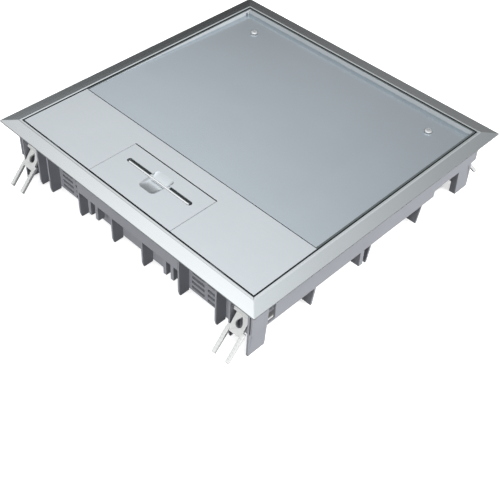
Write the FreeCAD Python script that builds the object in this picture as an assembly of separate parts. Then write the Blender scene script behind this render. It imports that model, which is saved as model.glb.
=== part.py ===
import FreeCAD, Part
import math
import os

# Floor socket box, 12-module size, with a hinged lid and a hinged cord outlet.
# Millimetres. +Z is up and Z = 0 is the plane of the four corner feet.
# The cord outlet is at -Y, the lid hinge at +Y, X runs along the hinge.

# Driving dimensions: the frame in the floor
RIM_SIZE = 324.0            # outside of the visible metal rim, square
CUTOUT_CLEARANCE = 10.95    # rim overhang past the frame wall, each side
FLOOR_Z = 65.0              # underside of the rim: the finished floor level
RIM_EDGE = 1.2              # rim thickness at its outer edge
RIM_RISE = 1.5              # how far the rim climbs to its inner lip
RIM_LIP = 2.0               # flat top of the inner lip
RIM_WIDTH = 14.5            # rim width seen from above
RIM_LEG = 1.6               # thickness of the leg that hangs inside the frame
RIM_LEG_DROP = 6.0          # how far that leg hangs below the floor level
WALL = 1.95                 # outer wall of the moulded frame
LEDGE_DROP = 11.0           # top of the lid ledge below the floor level
LEDGE = 2.0                 # ledge thickness
CHANNEL = 11.7              # from the outer wall's face to the inner wall
INNER_WALL = 2.0            # inner wall thickness
INNER_WALL_LOW = 7.0        # lower edge of the front and back inner walls
SIDE_WALL_LOW = 20.0        # lower edge of the left and right inner walls

# Ribs, skirts and feet of the frame
RIB = 2.0                   # rib thickness
RIB_LOW = 5.0               # lower end of the long ribs
RIB_SETBACK = 0.5           # rib edge behind the outer wall's face
RIB_MIDDLE = 20.0           # the two middle ribs, from the centre
RIB_AT_BAY = (21.5, 22.5)   # the ribs on either side of a louvred bay
RIB_AT_CLAW = 25.55         # the rib that holds the claw's pin, from the wall's face
BOSS_LEFT = (15.8, 25.6)    # bosses, from the bay's rib towards the middle
BOSS_RIGHT = (16.7, 7.7)
BOSS_WIDTH = 3.6
BOSS_DEPTH = 7.0
BOSS_LOW = 18.5
RIB_TOE = 2.5               # chamfer at a rib's toe
BAND_LOW = 36.0             # lower edge of the skirt band between the bays
SKIRT_LOW = 27.0            # lower edge of the side skirts
SKIRT_STEP_LOW = 34.0       # the same past the step near the hinge
SKIRT_STEP_IN = 65.05       # that step, from the back wall's face
GUSSET_Y = (-75.0, -3.0, 70.0)
GUSSET_TOE = 3.0            # how far a gusset's outer edge leans in
GUSSET_LOW = 2.0            # lower end of the gussets
GUSSET_ABOVE = 4.0          # a gusset's lean starts this far above the skirt's edge
SKIRT_BOSS_Y = -15.0        # boss behind the side skirt
SKIRT_BOSS = (5.0, 9.0)     # its width and its lower end
WINDOW_IN = 22.05           # small window in the side skirt, from the front wall's face
WINDOW_SIZE = 8.0
FOOT_WIDTH = 19.0           # corner foot along Y
FOOT_RETURN = 7.0           # the foot's stiffening flange, along X
FOOT = 2.2                  # its thickness
FOOT_SETBACK = 3.0          # its outer face behind the wall's face, in X
FOOT_FLARE = 4.0            # how much wider the foot is at its top

# Louvre slots, which also take the cups' tabs
SLOT_HEIGHT = 3.2
SLOT_WIDTH = 15.0
SLOT_COLUMN = 9.5
SLOT_ROW_Z = 28.0
SLOT_ROWS = 4
SLOT_ROW_PITCH = 6.0
SLOT_STAGGER = 1.6
MIDDLE_SLOT_WIDTH = 25.0

# Lid
LID_GAP = 1.5               # gap between the lid and the rim
LID_TOP_BELOW = 0.3         # lid's top below the top of the rim's lip
LID_DEPTH = 12.2            # lid's top to the underside of its ribs
LID_RIM = 1.5               # the tray's upstanding rim
LID_FLOOR = 2.0
LID_REAR_RISE = 2.3         # the tray's edge above the underside of its ribs
STRIP_DEPTH = 71.4          # metal strip at the front, front to back
SHEET = 1.2                 # thickness of the strip and the flap's plate
STRIP_FOLD = 6.0            # the strip's folded front edge
PLATE = 1.5                 # inlay plate thickness
RECESS_FRONT = 0.1          # plate below the lid's top at the strip
RECESS_REAR = 5.0           # plate below the lid's top at the hinge
PLATE_FIT = 0.3             # gap round the plate
PLATE_SCREW_SIDE = 33.0     # from the lid's side edge
PLATE_SCREW_IN = 27.0       # from the lid's hinge edge
WEDGE_EDGE = 3.5            # outermost wedge rib, inside the tray's rim
UNDER_RIB_SIDE = 9.0        # side ribs below the tray, inside its rim
UNDER_RIB_FRONT = 12.6      # first cross rib, behind the strip
UNDER_RIB_REAR = 22.0       # last cross rib, from the hinge edge
LID_RIB = 2.0               # thickness of all these ribs
STIFFENER = (18.0, 2.0)     # width and thickness of the steel bars
STIFFENER_END = 3.5         # gap between a bar's end and the side rib
SCREW_BOSS_R = 4.0

# Lid hinge
HINGE_IN = 6.0              # hinge axis inside the lid's rear edge
HINGE_DOWN = 4.0            # hinge axis below the lid's top
HINGE_PIN_R = 1.5
PIN_FIT = 0.05              # running clearance round every pin
SEAT = 0.1                  # clearance between the lid and its buffers

# Cord outlet flap and its pull bar
FLAP_WIDTH = 103.0
OUTLET_DEPTH = 52.7         # notch, from the lid's front edge
FLAP_SIDE_GAP = 0.5
FLAP_REAR_GAP = 1.2
FLAP_AXIS_IN = 4.0
FLAP_AXIS_DOWN = 3.0
FLAP_PIN_R = 0.9
FLAP_BODY = 5.7             # depth of the flap's moulding
FLAP_WALL = 1.6
FLAP_BARREL = (3.5, 2.4)    # barrel behind and below the flap's pin
GUIDE_HALF = 5.2            # half the bar guides' depth
CHEEK = 2.6                 # tray cheeks that hold the flap's pin
BAR_HALF = 38.6
BAR_Y_IN = 32.7             # bar from the lid's front edge
BAR = 2.2                   # bar thickness
BAR_HEIGHT = 2.3
BAR_LEG = 3.0
BAR_TRAVEL = 15.0
BAR_HOOK = 2.0
BAR_CLEAR = 0.4
BAR_BEHIND = 2.4            # slot behind the bar
BAR_ENDS = 2.0              # slot past each end of the bar
SCOOP_HALF = 11.2
SCOOP_NOSE = 9.2            # half its width at the front
SCOOP_NEAR = 14.9           # from the bar's line to the scoop's front edge
SCOOP_FAR = 10.1
SCOOP_FLOOR = 1.2           # scoop's floor above the underside of the flap
SCOOP_ROUND = 4.0
DISH = 1.0                  # wall of the pressed scoop
SEAL_SIZE = (96.0, 6.0, 3.0)

# Snap claws
CLAW_PIVOT_IN = 7.0         # claw axis behind the outer wall's face
CLAW_PIVOT_Z = 38.0
CLAW_PIN_R = 1.5
CLAW_BARREL_R = 3.2
CLAW_HEAD_LENGTH = 20.0
CLAW_HEAD_WIDTH = 14.0
CLAW_THICK = 2.6
CLAW_HEAD_ANGLE = 36.0      # head from the vertical
CLAW_CROSS = 5.0            # height of the strap's cross bar
CLAW_HOLE_UP = 9.5          # its hole, from the strap's end
CLAW_HOLE_R = 3.4
CLAW_HOLE_POINT = (3.0, 1.5, 6.5)
CLAW_LEG_ANGLE = 42.0       # legs from the vertical
CLAW_LEG_LENGTH = 27.0
CLAW_LEG_WIDTH = 3.6
CLAW_TEETH = 8
CLAW_TOOTH = 0.8
CLAW_SIDE_FIT = 0.35

# Device cups and inserts
CUP_SIDE_GAP = 8.85         # outer cups to the side walls
CUP_GAP = 5.5               # between two cups
CUP_END_GAP = 3.3
CUP_CORNER = 3.0
CUP_LOW = 9.0
CUP_TOP = 32.0
CUP_WALL = 1.8
CARRIER = 1.6
INSERT_PITCH = 56.0
INSERT_FACE = 50.0
INSERT_FACE_T = 2.0
FACE_CORNER = 1.2
INSERT_BODY = 44.0
INSERT_LOW = 13.0
INSERT_FIT = 0.25
SOCKET_R = 19.5
SOCKET_DEPTH = 17.5
CONTACT_SPACING = 19.0
CONTACT_HOLE_R = 2.75
CONTACT_ROOM = (7.0, 8.0)   # pocket for a contact, under its hole
CONTACT_COVER = 1.5         # insert material above that pocket
CONTACT_METAL = 0.6
EARTH_CLIP = (1.2, 6.0, 12.0)
PORT_SIZE = (12.4, 9.4, 13.0)
PORT_SPACING = 20.0
PORT_KEY = (6.0, 2.0)       # the latch groove of a port
TAB_FIT = 0.25
ENTRY_R = 8.0
GROMMET_BORE_R = 5.0
GROMMET_LIP = (2.0, 1.5)    # lip width and height
GROMMET_NECK_FIT = 0.1
ENTRY_FROM_END = 50.05      # cable entry, from the cup's rear end
CLAMP = (8.0, 40.0, 3.0)    # strain relief bar
CLAMP_ASIDE = 14.0          # its middle, beside the entry's axis
POST_R = 4.0
POST_SPACING = 32.0
POST_HEIGHT = 8.0
CLAMP_ARCH_R = 10.0
CLAMP_ARCH_DROP = 7.6
BRACKET_LEG = 20.0
BRACKET = 1.5
BRACKET_HEIGHT = 14.0
SCREW_R = 1.5
SCREW_HEAD_R = 3.0
SCREW_HEAD = 1.0
BUFFER_SIZE = (24.0, 5.0)
BUFFER_SIDE = 71.0          # pads and clips, from the lid's side edge
LATCH_SIDE = 41.0
LATCH = (16.0, 7.0, 0.5)    # clip width, foot and strip thickness
LATCH_BUMP_R = 0.6
WALL_GROOVE = 0.4           # the frame's wall stands this deep in the rim

# Places that follow from the sizes above
RIM_HALF = RIM_SIZE / 2
WALL_FACE = RIM_HALF - CUTOUT_CLEARANCE
RIM_INNER = RIM_HALF - RIM_WIDTH
WALL_INSIDE = RIM_INNER + RIM_LEG
INNER_FACE = WALL_FACE - CHANNEL
FRAME_INSIDE = INNER_FACE - INNER_WALL
RIM_TOP = FLOOR_Z + RIM_EDGE + RIM_RISE
WALL_TOP = FLOOR_Z + WALL_GROOVE
LEDGE_Z = FLOOR_Z - LEDGE_DROP
LEDGE_LOW = LEDGE_Z - LEDGE
RIB_FACE = WALL_FACE - RIB_SETBACK
FOOT_X = WALL_FACE - FOOT_SETBACK
LID_TOP = RIM_TOP - LID_TOP_BELOW
LID_LOW = LID_TOP - LID_DEPTH
LID_EDGE_LOW = LID_LOW + LID_REAR_RISE
LID_HALF = RIM_INNER - LID_GAP
LID_INSIDE = LID_HALF - LID_RIM
STRIP_REAR = -LID_HALF + STRIP_DEPTH
PLATE_HALF = LID_INSIDE - PLATE_FIT
PLATE_FRONT = STRIP_REAR + PLATE_FIT
PLATE_LENGTH = LID_INSIDE - PLATE_FIT - PLATE_FRONT
PLATE_TILT = math.degrees(math.asin((RECESS_REAR - RECESS_FRONT) / PLATE_LENGTH))
PLATE_SCREW_X = LID_HALF - PLATE_SCREW_SIDE
WEDGE_X = (0.0, LID_INSIDE / 2, LID_INSIDE - WEDGE_EDGE)
UNDER_RIB_X = LID_INSIDE - UNDER_RIB_SIDE
UNDER_RIB_START = STRIP_REAR + UNDER_RIB_FRONT
UNDER_RIB_PITCH = (LID_HALF - UNDER_RIB_REAR - UNDER_RIB_START) / 3
UNDER_RIB_Y = [UNDER_RIB_START + i * UNDER_RIB_PITCH for i in range(4)]
STIFFENER_HALF = UNDER_RIB_X - LID_RIB / 2 - STIFFENER_END
STIFFENER_Y = [UNDER_RIB_Y[i] + UNDER_RIB_PITCH / 2 for i in range(2)]
TRAY_FLOOR = LID_TOP - RECESS_REAR - PLATE
HINGE_Y = LID_HALF - HINGE_IN
HINGE_Z = LID_TOP - HINGE_DOWN
NOTCH_HALF = FLAP_WIDTH / 2 + FLAP_SIDE_GAP
NOTCH_REAR = -LID_HALF + OUTLET_DEPTH
FLAP_REAR = NOTCH_REAR - FLAP_REAR_GAP
FLAP_AXIS_Y = FLAP_REAR - FLAP_AXIS_IN
FLAP_AXIS_Z = LID_TOP - FLAP_AXIS_DOWN
SHEET_LOW = LID_TOP - SHEET
FLAP_LOW = SHEET_LOW - FLAP_BODY
BAR_Y = -LID_HALF + BAR_Y_IN
CUP_WIDTH = 2 * (FRAME_INSIDE - CUP_SIDE_GAP - CUP_GAP) / 3
BAY_PITCH = CUP_WIDTH + CUP_GAP
RIB_X = (RIB_MIDDLE, BAY_PITCH - RIB_AT_BAY[0], BAY_PITCH + RIB_AT_BAY[1], WALL_FACE - RIB_AT_CLAW)
CLAW_X = (RIB_X[3] + RIB / 2 + FOOT_X - FOOT) / 2
CLAW_HALF = CLAW_X - RIB_X[3] - RIB / 2 - CLAW_SIDE_FIT
CLAW_Y = -(WALL_FACE - CLAW_PIVOT_IN)
CUP_END = FRAME_INSIDE - CUP_END_GAP
ENTRY_Y = CUP_END - ENTRY_FROM_END
CARRIER_TOP = CUP_TOP + CARRIER
FACE_TOP = CARRIER_TOP + INSERT_FACE_T
SOCKET_FLOOR = FACE_TOP - SOCKET_DEPTH
BAYS = {"left": -BAY_PITCH, "middle": 0.0, "right": BAY_PITCH}
INSERT_Y = [(i - 1.5) * INSERT_PITCH for i in range(4)]


def at(x, y, z):
    return FreeCAD.Vector(x, y, z)


X_AXIS = at(1, 0, 0)
Y_AXIS = at(0, 1, 0)
Z_AXIS = at(0, 0, 1)


def block(x0, x1, y0, y1, z0, z1):
    """Box between two opposite corners."""
    return Part.makeBox(x1 - x0, y1 - y0, z1 - z0, at(x0, y0, z0))


def rod(radius, start, length, axis):
    return Part.makeCylinder(radius, length, start, axis)


def outline(points):
    return Part.Face(Part.makePolygon(points + points[:1]))


def prism_x(profile, x0, x1):
    """Extrude a (y, z) outline along X."""
    return outline([at(x0, y, z) for y, z in profile]).extrude(at(x1 - x0, 0, 0))


def prism_z(profile, z0, z1):
    """Extrude an (x, y) outline along Z."""
    return outline([at(x, y, z0) for x, y in profile]).extrude(at(0, 0, z1 - z0))


def joined(shapes):
    """Fuse shapes that meet into one solid with merged faces."""
    return shapes[0].multiFuse(shapes[1:]).removeSplitter()


def minus(shape, tools):
    return shape.cut(Part.makeCompound(tools))


def turned(shape, degrees, centre=None, axis=Z_AXIS):
    copy = shape.copy()
    copy.rotate(centre or at(0, 0, 0), axis, degrees)
    return copy


def mirrored_x(shape):
    return shape.mirror(at(0, 0, 0), X_AXIS)


def mirrored_y(shape):
    return shape.mirror(at(0, 0, 0), Y_AXIS)


def four_corners(shape):
    """The shape and its mirror images in the other three quarters."""
    pair = [shape, mirrored_x(shape)]
    return pair + [mirrored_y(item) for item in pair]


def rounded_block(x0, x1, y0, y1, z0, z1, radius):
    """Block whose upright edges are rounded."""
    solid = block(x0, x1, y0, y1, z0, z1)
    upright = [edge for edge in solid.Edges if abs(edge.tangentAt(0).z) > 0.9]
    return solid.makeFillet(radius, upright)


def chamfered_block(x0, x1, y0, y1, z0, z1, size):
    """Block whose upright edges are cut off at 45 degrees."""
    corners = []
    for x, y, toward_x, toward_y in ((x0, y0, 1, 1), (x1, y0, -1, 1), (x1, y1, -1, -1), (x0, y1, 1, -1)):
        pair = [(x, y + toward_y * size), (x + toward_x * size, y)]
        corners += pair if toward_x == toward_y else pair[::-1]
    return prism_z(corners, z0, z1)


def rim_trim():
    """Front length of the metal rim, an L section mitred at both ends."""
    slope_end = RIM_INNER + RIM_LIP
    profile = [
        (-RIM_INNER, FLOOR_Z - RIM_LEG_DROP),
        (-WALL_INSIDE, FLOOR_Z - RIM_LEG_DROP),
        (-WALL_INSIDE, WALL_TOP),
        (-WALL_FACE, WALL_TOP),
        (-WALL_FACE, FLOOR_Z),
        (-RIM_HALF, FLOOR_Z),
        (-RIM_HALF, FLOOR_Z + RIM_EDGE),
        (-slope_end - 0.3, RIM_TOP - 0.4),
        (-slope_end, RIM_TOP),
        (-RIM_INNER, RIM_TOP),
    ]
    length = prism_x(profile, -RIM_HALF, RIM_HALF)
    reach = RIM_HALF + WALL
    mitre = prism_z([(0, 0), (-reach, -reach), (reach, -reach)], 0, RIM_TOP + WALL)
    return length.common(mitre)


def hinge_hole(x_from, x_to, clearance):
    return rod(HINGE_PIN_R + clearance, at(x_from, HINGE_Y, HINGE_Z), x_to - x_from, X_AXIS)


def foot():
    """Corner foot at +X, -Y: an angle that narrows towards the floor."""
    y0 = -WALL_FACE
    y1 = y0 + FOOT_WIDTH
    side = [(y0, 0), (y1, 0), (y1 + FOOT_FLARE, LEDGE_LOW), (y0, LEDGE_LOW)]
    blade = prism_x(side, FOOT_X - FOOT, FOOT_X)
    rear = block(FOOT_X - FOOT_RETURN, FOOT_X, y1 - FOOT, y1, 0, LEDGE_LOW)
    return joined([blade, rear])


def rib(x, low):
    """Upright rib in the channel of the front side, chamfered at its toe."""
    profile = [
        (-INNER_FACE, LEDGE_LOW),
        (-RIB_FACE, LEDGE_LOW),
        (-RIB_FACE, low + 2 * RIB_TOE),
        (-RIB_FACE + RIB_TOE / 2, low),
        (-INNER_FACE, low),
    ]
    return prism_x(profile, x - RIB / 2, x + RIB / 2)


def louvre_slots(wall_y):
    """Slots through the front inner wall: the top row takes the cups' tabs."""
    y0 = wall_y - INNER_WALL
    y1 = wall_y + 2 * INNER_WALL
    slots = []
    for bay in (-BAY_PITCH, BAY_PITCH):
        for column in (-1, 1):
            x = bay + column * SLOT_COLUMN
            for row in range(SLOT_ROWS):
                z = SLOT_ROW_Z - row * SLOT_ROW_PITCH
                if row and column > 0:
                    z -= SLOT_STAGGER
                half = SLOT_WIDTH / 2
                slots.append(block(x - half, x + half, y0, y1, z, z + SLOT_HEIGHT))
    half = MIDDLE_SLOT_WIDTH / 2
    slots.append(block(-half, half, y0, y1, SLOT_ROW_Z, SLOT_ROW_Z + SLOT_HEIGHT))
    return slots


def frame_long_side(side_low):
    """Front side of the moulded frame, with its two corners and feet."""
    parts = [
        block(-WALL_FACE, WALL_FACE, -WALL_FACE, -WALL_INSIDE, LEDGE_LOW, WALL_TOP),
        block(-WALL_FACE, WALL_FACE, -WALL_FACE, -FRAME_INSIDE, LEDGE_LOW, LEDGE_Z),
        block(-INNER_FACE, INNER_FACE, -INNER_FACE, -FRAME_INSIDE, INNER_WALL_LOW, LEDGE_LOW),
        block(-RIB_X[1], RIB_X[1], -WALL_FACE, -WALL_FACE + RIB, BAND_LOW, LEDGE_LOW),
    ]
    for x in RIB_X:
        parts += [rib(x, RIB_LOW), rib(-x, RIB_LOW)]
    bosses = [step - RIB_X[1] for step in BOSS_LEFT] + [RIB_X[1] - step for step in BOSS_RIGHT]
    for x in bosses:
        x0 = x - BOSS_WIDTH / 2
        x1 = x + BOSS_WIDTH / 2
        parts.append(block(x0, x1, -RIB_FACE, -RIB_FACE + BOSS_DEPTH, BOSS_LOW, LEDGE_LOW))
    corner_return = block(WALL_INSIDE, WALL_FACE, -WALL_FACE, -FRAME_INSIDE, side_low, WALL_TOP)
    web = block(FOOT_X - FOOT, WALL_FACE, -FRAME_INSIDE - RIB, -FRAME_INSIDE, side_low, LEDGE_LOW)
    for shape in (corner_return, web, foot()):
        parts += [shape, mirrored_x(shape)]
    side = joined(parts)
    holes = louvre_slots(-INNER_FACE)
    claw_bore = claw_pin_axis(CLAW_PIN_R)
    holes += [claw_bore, mirrored_x(claw_bore)]
    return minus(side, holes)


def gusset(y):
    """Gusset under the +X skirt, its outer edge leaning in towards the toe."""
    points = [
        at(WALL_INSIDE, y - RIB / 2, LEDGE_LOW),
        at(RIB_FACE, y - RIB / 2, SKIRT_LOW + GUSSET_ABOVE),
        at(RIB_FACE - GUSSET_TOE, y - RIB / 2, GUSSET_LOW),
        at(FRAME_INSIDE, y - RIB / 2, GUSSET_LOW),
        at(FRAME_INSIDE, y - RIB / 2, LEDGE_LOW),
    ]
    return outline(points).extrude(at(0, RIB, 0))


def frame_short_side():
    """Right side of the moulded frame: a smooth skirt with gussets behind."""
    end = FRAME_INSIDE
    parts = [
        block(WALL_INSIDE, WALL_FACE, -end, end, SKIRT_STEP_LOW, WALL_TOP),
        block(WALL_INSIDE, WALL_FACE, -end, WALL_FACE - SKIRT_STEP_IN, SKIRT_LOW, SKIRT_STEP_LOW),
        block(FRAME_INSIDE, WALL_FACE, -end, end, LEDGE_LOW, LEDGE_Z),
        block(FRAME_INSIDE, INNER_FACE, -end, end, SIDE_WALL_LOW, LEDGE_LOW),
    ]
    for y in GUSSET_Y:
        parts.append(gusset(y))
    width, low = SKIRT_BOSS
    y0 = SKIRT_BOSS_Y - width / 2
    parts.append(block(INNER_FACE - INNER_WALL / 2, RIB_FACE, y0, y0 + width, low, LEDGE_LOW))
    side = joined(parts)
    y0 = WINDOW_IN - WALL_FACE - WINDOW_SIZE / 2
    y1 = y0 + WINDOW_SIZE
    low = SKIRT_LOW + WALL
    return side.cut(block(WALL_INSIDE - WALL, WALL_FACE + WALL, y0, y1, low, LEDGE_LOW - WALL))


def corner_bracket():
    """Steel angle that ties the two walls of the +X, -Y corner."""
    z1 = LEDGE_LOW - 1
    z0 = z1 - BRACKET_HEIGHT
    face = FRAME_INSIDE
    leg_x = block(face - BRACKET_LEG, face, -face, -face + BRACKET, z0, z1)
    leg_y = block(face - BRACKET, face, -face, -face + BRACKET_LEG, z0, z1)
    return joined([leg_x, leg_y])


def claw_pin_axis(radius):
    """Pin of the +X, -Y claw, from its rib to the corner foot."""
    start = RIB_X[3] - RIB / 2
    return rod(radius, at(start, CLAW_Y, CLAW_PIVOT_Z), FOOT_X - start, X_AXIS)


def claw_leg(x):
    """Toothed leg: a bar that slants outwards, with saw teeth on its outer face."""
    points = [(0, 0), (-CLAW_THICK, 0), (-CLAW_THICK, -CLAW_LEG_LENGTH)]
    pitch = (CLAW_LEG_LENGTH - CLAW_TOOTH * 2) / CLAW_TEETH
    points.append((0, -CLAW_LEG_LENGTH + CLAW_TOOTH))
    for tooth in range(CLAW_TEETH):
        foot_z = -CLAW_LEG_LENGTH + 2 * CLAW_TOOTH + tooth * pitch
        points += [(CLAW_TOOTH, foot_z), (0, foot_z + pitch - CLAW_TOOTH / 2)]
    profile = [(-across, up) for across, up in points]
    bar = prism_x(profile, x - CLAW_LEG_WIDTH / 2, x + CLAW_LEG_WIDTH / 2)
    return turned(bar, -CLAW_LEG_ANGLE, at(0, 0, 0), X_AXIS)


def claw():
    """Snap claw at +X, -Y: barrel, strap head with its hole, two toothed legs."""
    barrel = rod(CLAW_BARREL_R, at(-CLAW_HALF, 0, 0), 2 * CLAW_HALF, X_AXIS)
    half = CLAW_HEAD_WIDTH / 2
    head = block(-half, half, 0, CLAW_THICK, -CLAW_HEAD_LENGTH, 0)
    end = -CLAW_HEAD_LENGTH
    cross = block(-CLAW_HALF, CLAW_HALF, 0, CLAW_THICK, end, end + CLAW_CROSS)
    strap = joined([head, cross])
    hole_z = end + CLAW_HOLE_UP
    round_hole = rod(CLAW_HOLE_R, at(0, -1, hole_z), CLAW_THICK + 2, Y_AXIS)
    side, base, tip = CLAW_HOLE_POINT
    corners = [at(-side, -1, hole_z + base), at(side, -1, hole_z + base), at(0, -1, hole_z + tip)]
    hole = round_hole.fuse(outline(corners).extrude(at(0, CLAW_THICK + 2, 0)))
    strap = turned(strap.cut(hole), -CLAW_HEAD_ANGLE, at(0, 0, 0), X_AXIS)
    angle = math.radians(CLAW_HEAD_ANGLE)
    knee = CLAW_HEAD_LENGTH - 4.0
    leg_x = CLAW_HALF - CLAW_LEG_WIDTH / 2
    legs = []
    for x in (-leg_x, leg_x):
        leg = claw_leg(x)
        leg.translate(at(0, -knee * math.sin(angle), -knee * math.cos(angle)))
        legs.append(leg)
    bore = rod(CLAW_PIN_R + PIN_FIT, at(-CLAW_HALF - 1, 0, 0), 2 * CLAW_HALF + 2, X_AXIS)
    shape = joined([barrel, strap] + legs).cut(bore)
    shape.translate(at(CLAW_X, CLAW_Y, CLAW_PIVOT_Z))
    return shape


def above_plate():
    """Tilted space of the inlay plate and everything over it."""
    reach = 2 * LID_HALF
    space = block(-reach, reach, -reach, reach, LID_TOP - RECESS_FRONT - PLATE, LID_TOP + reach)
    pivot = at(0, PLATE_FRONT, LID_TOP - RECESS_FRONT)
    return turned(space, -PLATE_TILT, pivot, X_AXIS)


def outlet_notch(half, rear, low, high):
    return block(-half, half, -LID_HALF - 1, rear, low, high)


def lid_tray():
    """Moulded tray: rim, floor, wedge ribs under the plate, ribs below."""
    floor_low = TRAY_FLOOR - LID_FLOOR
    front = -LID_HALF + SHEET + 0.1
    floor = block(-LID_HALF, LID_HALF, front, LID_HALF, floor_low, TRAY_FLOOR)
    plate_rim = block(-LID_HALF, LID_HALF, STRIP_REAR, LID_HALF, LID_EDGE_LOW, LID_TOP)
    plate_field = block(-LID_INSIDE, LID_INSIDE, STRIP_REAR, LID_INSIDE, LID_LOW, LID_TOP)
    plate_rim = plate_rim.cut(plate_field)
    strip_rim = block(-LID_HALF, LID_HALF, front, STRIP_REAR, LID_EDGE_LOW, SHEET_LOW)
    inner_rear = STRIP_REAR - LID_RIM
    hollow = block(-LID_INSIDE, LID_INSIDE, front + LID_RIM, inner_rear, LID_LOW, SHEET_LOW)
    strip_rim = strip_rim.cut(hollow)
    cheek_half = NOTCH_HALF + CHEEK
    cheeks = outlet_notch(cheek_half, NOTCH_REAR + CHEEK, LID_EDGE_LOW, SHEET_LOW)
    cheeks = cheeks.common(block(-LID_HALF, LID_HALF, front, LID_HALF, LID_LOW, LID_TOP))
    below = []
    half = LID_RIB / 2
    for x in (-(LID_HALF + cheek_half) / 2, (LID_HALF + cheek_half) / 2):
        below.append(block(x - half, x + half, front, STRIP_REAR, TRAY_FLOOR, SHEET_LOW))
    for y in UNDER_RIB_Y:
        below.append(block(-UNDER_RIB_X, UNDER_RIB_X, y - half, y + half, LID_LOW, floor_low))
    for x in (-UNDER_RIB_X, UNDER_RIB_X):
        y0 = UNDER_RIB_Y[0] - half
        below.append(block(x - half, x + half, y0, UNDER_RIB_Y[3] + half, LID_LOW, floor_low))
    wedges = []
    for x in sorted({value * sign for value in WEDGE_X for sign in (-1, 1)}):
        wedges.append(block(x - half, x + half, STRIP_REAR - 1, LID_INSIDE, TRAY_FLOOR, LID_TOP))
    for x in (-PLATE_SCREW_X, PLATE_SCREW_X):
        place = at(x, LID_HALF - PLATE_SCREW_IN, floor_low)
        wedges.append(rod(SCREW_BOSS_R, place, LID_TOP - floor_low, Z_AXIS))
    wedges = joined(wedges).cut(above_plate())
    tray = joined([floor, plate_rim, strip_rim, cheeks, wedges] + below)
    cuts = [outlet_notch(NOTCH_HALF, NOTCH_REAR, LID_LOW - 1, LID_TOP + 1)]
    for x in (-PLATE_SCREW_X, PLATE_SCREW_X):
        place = at(x, LID_HALF - PLATE_SCREW_IN, floor_low - 1)
        cuts.append(rod(SCREW_R + 0.3, place, LID_DEPTH, Z_AXIS))
    cuts.append(hinge_hole(LID_INSIDE - 1, LID_HALF + 1, PIN_FIT))
    cuts.append(hinge_hole(-LID_HALF - 1, -LID_INSIDE + 1, PIN_FIT))
    cuts.append(flap_pin(PIN_FIT))
    return minus(tray, cuts)


def front_strip():
    """Metal strip over the front of the lid, notched for the cord outlet."""
    top = block(-LID_HALF, LID_HALF, -LID_HALF, STRIP_REAR, SHEET_LOW, LID_TOP)
    fold = block(-LID_HALF, LID_HALF, -LID_HALF, -LID_HALF + SHEET, LID_TOP - STRIP_FOLD, SHEET_LOW)
    strip = joined([top, fold])
    return strip.cut(outlet_notch(NOTCH_HALF, NOTCH_REAR, LID_LOW, LID_TOP + 1))


def tilted(shape):
    """Lay a flat inlay piece into the lid's tilt."""
    return turned(shape, -PLATE_TILT, at(0, PLATE_FRONT, LID_TOP - RECESS_FRONT), X_AXIS)


def inlay_plate():
    top = LID_TOP - RECESS_FRONT
    rear = PLATE_FRONT + PLATE_LENGTH
    plate = block(-PLATE_HALF, PLATE_HALF, PLATE_FRONT, rear, top - PLATE, top)
    cuts = []
    for x in (-PLATE_SCREW_X, PLATE_SCREW_X):
        place = at(x, LID_HALF - PLATE_SCREW_IN, top - PLATE - 1)
        cuts.append(rod(SCREW_R + PIN_FIT, place, PLATE + 2, Z_AXIS))
    return tilted(minus(plate, cuts))


def plate_screws():
    """The two screws that hold the inlay plate, their heads domed."""
    top = LID_TOP - RECESS_FRONT
    screws = []
    for x in (-PLATE_SCREW_X, PLATE_SCREW_X):
        y = LID_HALF - PLATE_SCREW_IN
        shank = rod(SCREW_R, at(x, y, top - PLATE - 2.5), PLATE + 2.5, Z_AXIS)
        head = Part.makeCone(SCREW_HEAD_R, SCREW_HEAD_R - SCREW_HEAD, SCREW_HEAD, at(x, y, top))
        screws.append(tilted(joined([shank, head])))
    return screws


def lid_stiffeners():
    """Flat steel bars under the tray's floor."""
    width, thick = STIFFENER
    top = TRAY_FLOOR - LID_FLOOR
    reach = STIFFENER_HALF
    bars = []
    for y in STIFFENER_Y:
        bars.append(block(-reach, reach, y - width / 2, y + width / 2, top - thick, top))
    return bars


def flap_pin(extra):
    length = 2 * (NOTCH_HALF + CHEEK)
    place = at(-length / 2, FLAP_AXIS_Y, FLAP_AXIS_Z)
    return rod(FLAP_PIN_R + extra, place, length, X_AXIS)


def scoop_front(low, high, wall):
    """Part of the finger scoop before the bar: narrower and rounded at the front."""
    front = BAR_Y - SCOOP_NEAR - wall
    middle = BAR_Y + BAR / 2 + BAR_CLEAR
    half = SCOOP_HALF + wall
    nose = SCOOP_NOSE + wall
    solid = prism_z([(-half, middle), (-nose, front), (nose, front), (half, middle)], low, high)
    corners = []
    for edge in solid.Edges:
        if abs(edge.tangentAt(0).z) > 0.9 and edge.CenterOfMass.y < middle - 1:
            corners.append(edge)
    return solid.makeFillet(SCOOP_ROUND + wall, corners)


def scoop(high, wall):
    """Finger scoop, or with a wall its outside: it slopes up behind the bar."""
    low = FLAP_LOW + SCOOP_FLOOR - wall
    middle = BAR_Y + BAR / 2 + BAR_CLEAR
    half = SCOOP_HALF + wall
    rear = BAR_Y + SCOOP_FAR + wall
    lip = LID_TOP - SHEET / 6
    ramp = [(middle - 1, low), (middle - 1, high), (rear, high), (rear, lip), (middle, low)]
    return joined([scoop_front(low, high, wall), prism_x(ramp, -half, half)])


def bar_slot(low, high):
    """Slot over the pull bar, wider behind it and past its ends."""
    half = BAR_HALF + BAR_ENDS
    front = BAR_Y - BAR / 2 - BAR_CLEAR
    rear = BAR_Y + BAR / 2 + BAR_BEHIND
    return rounded_block(-half, half, front, rear, low, high, (rear - front) * 0.45)


def bar_groove_low():
    return LID_TOP - 0.2 - BAR_HEIGHT - 0.2


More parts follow.
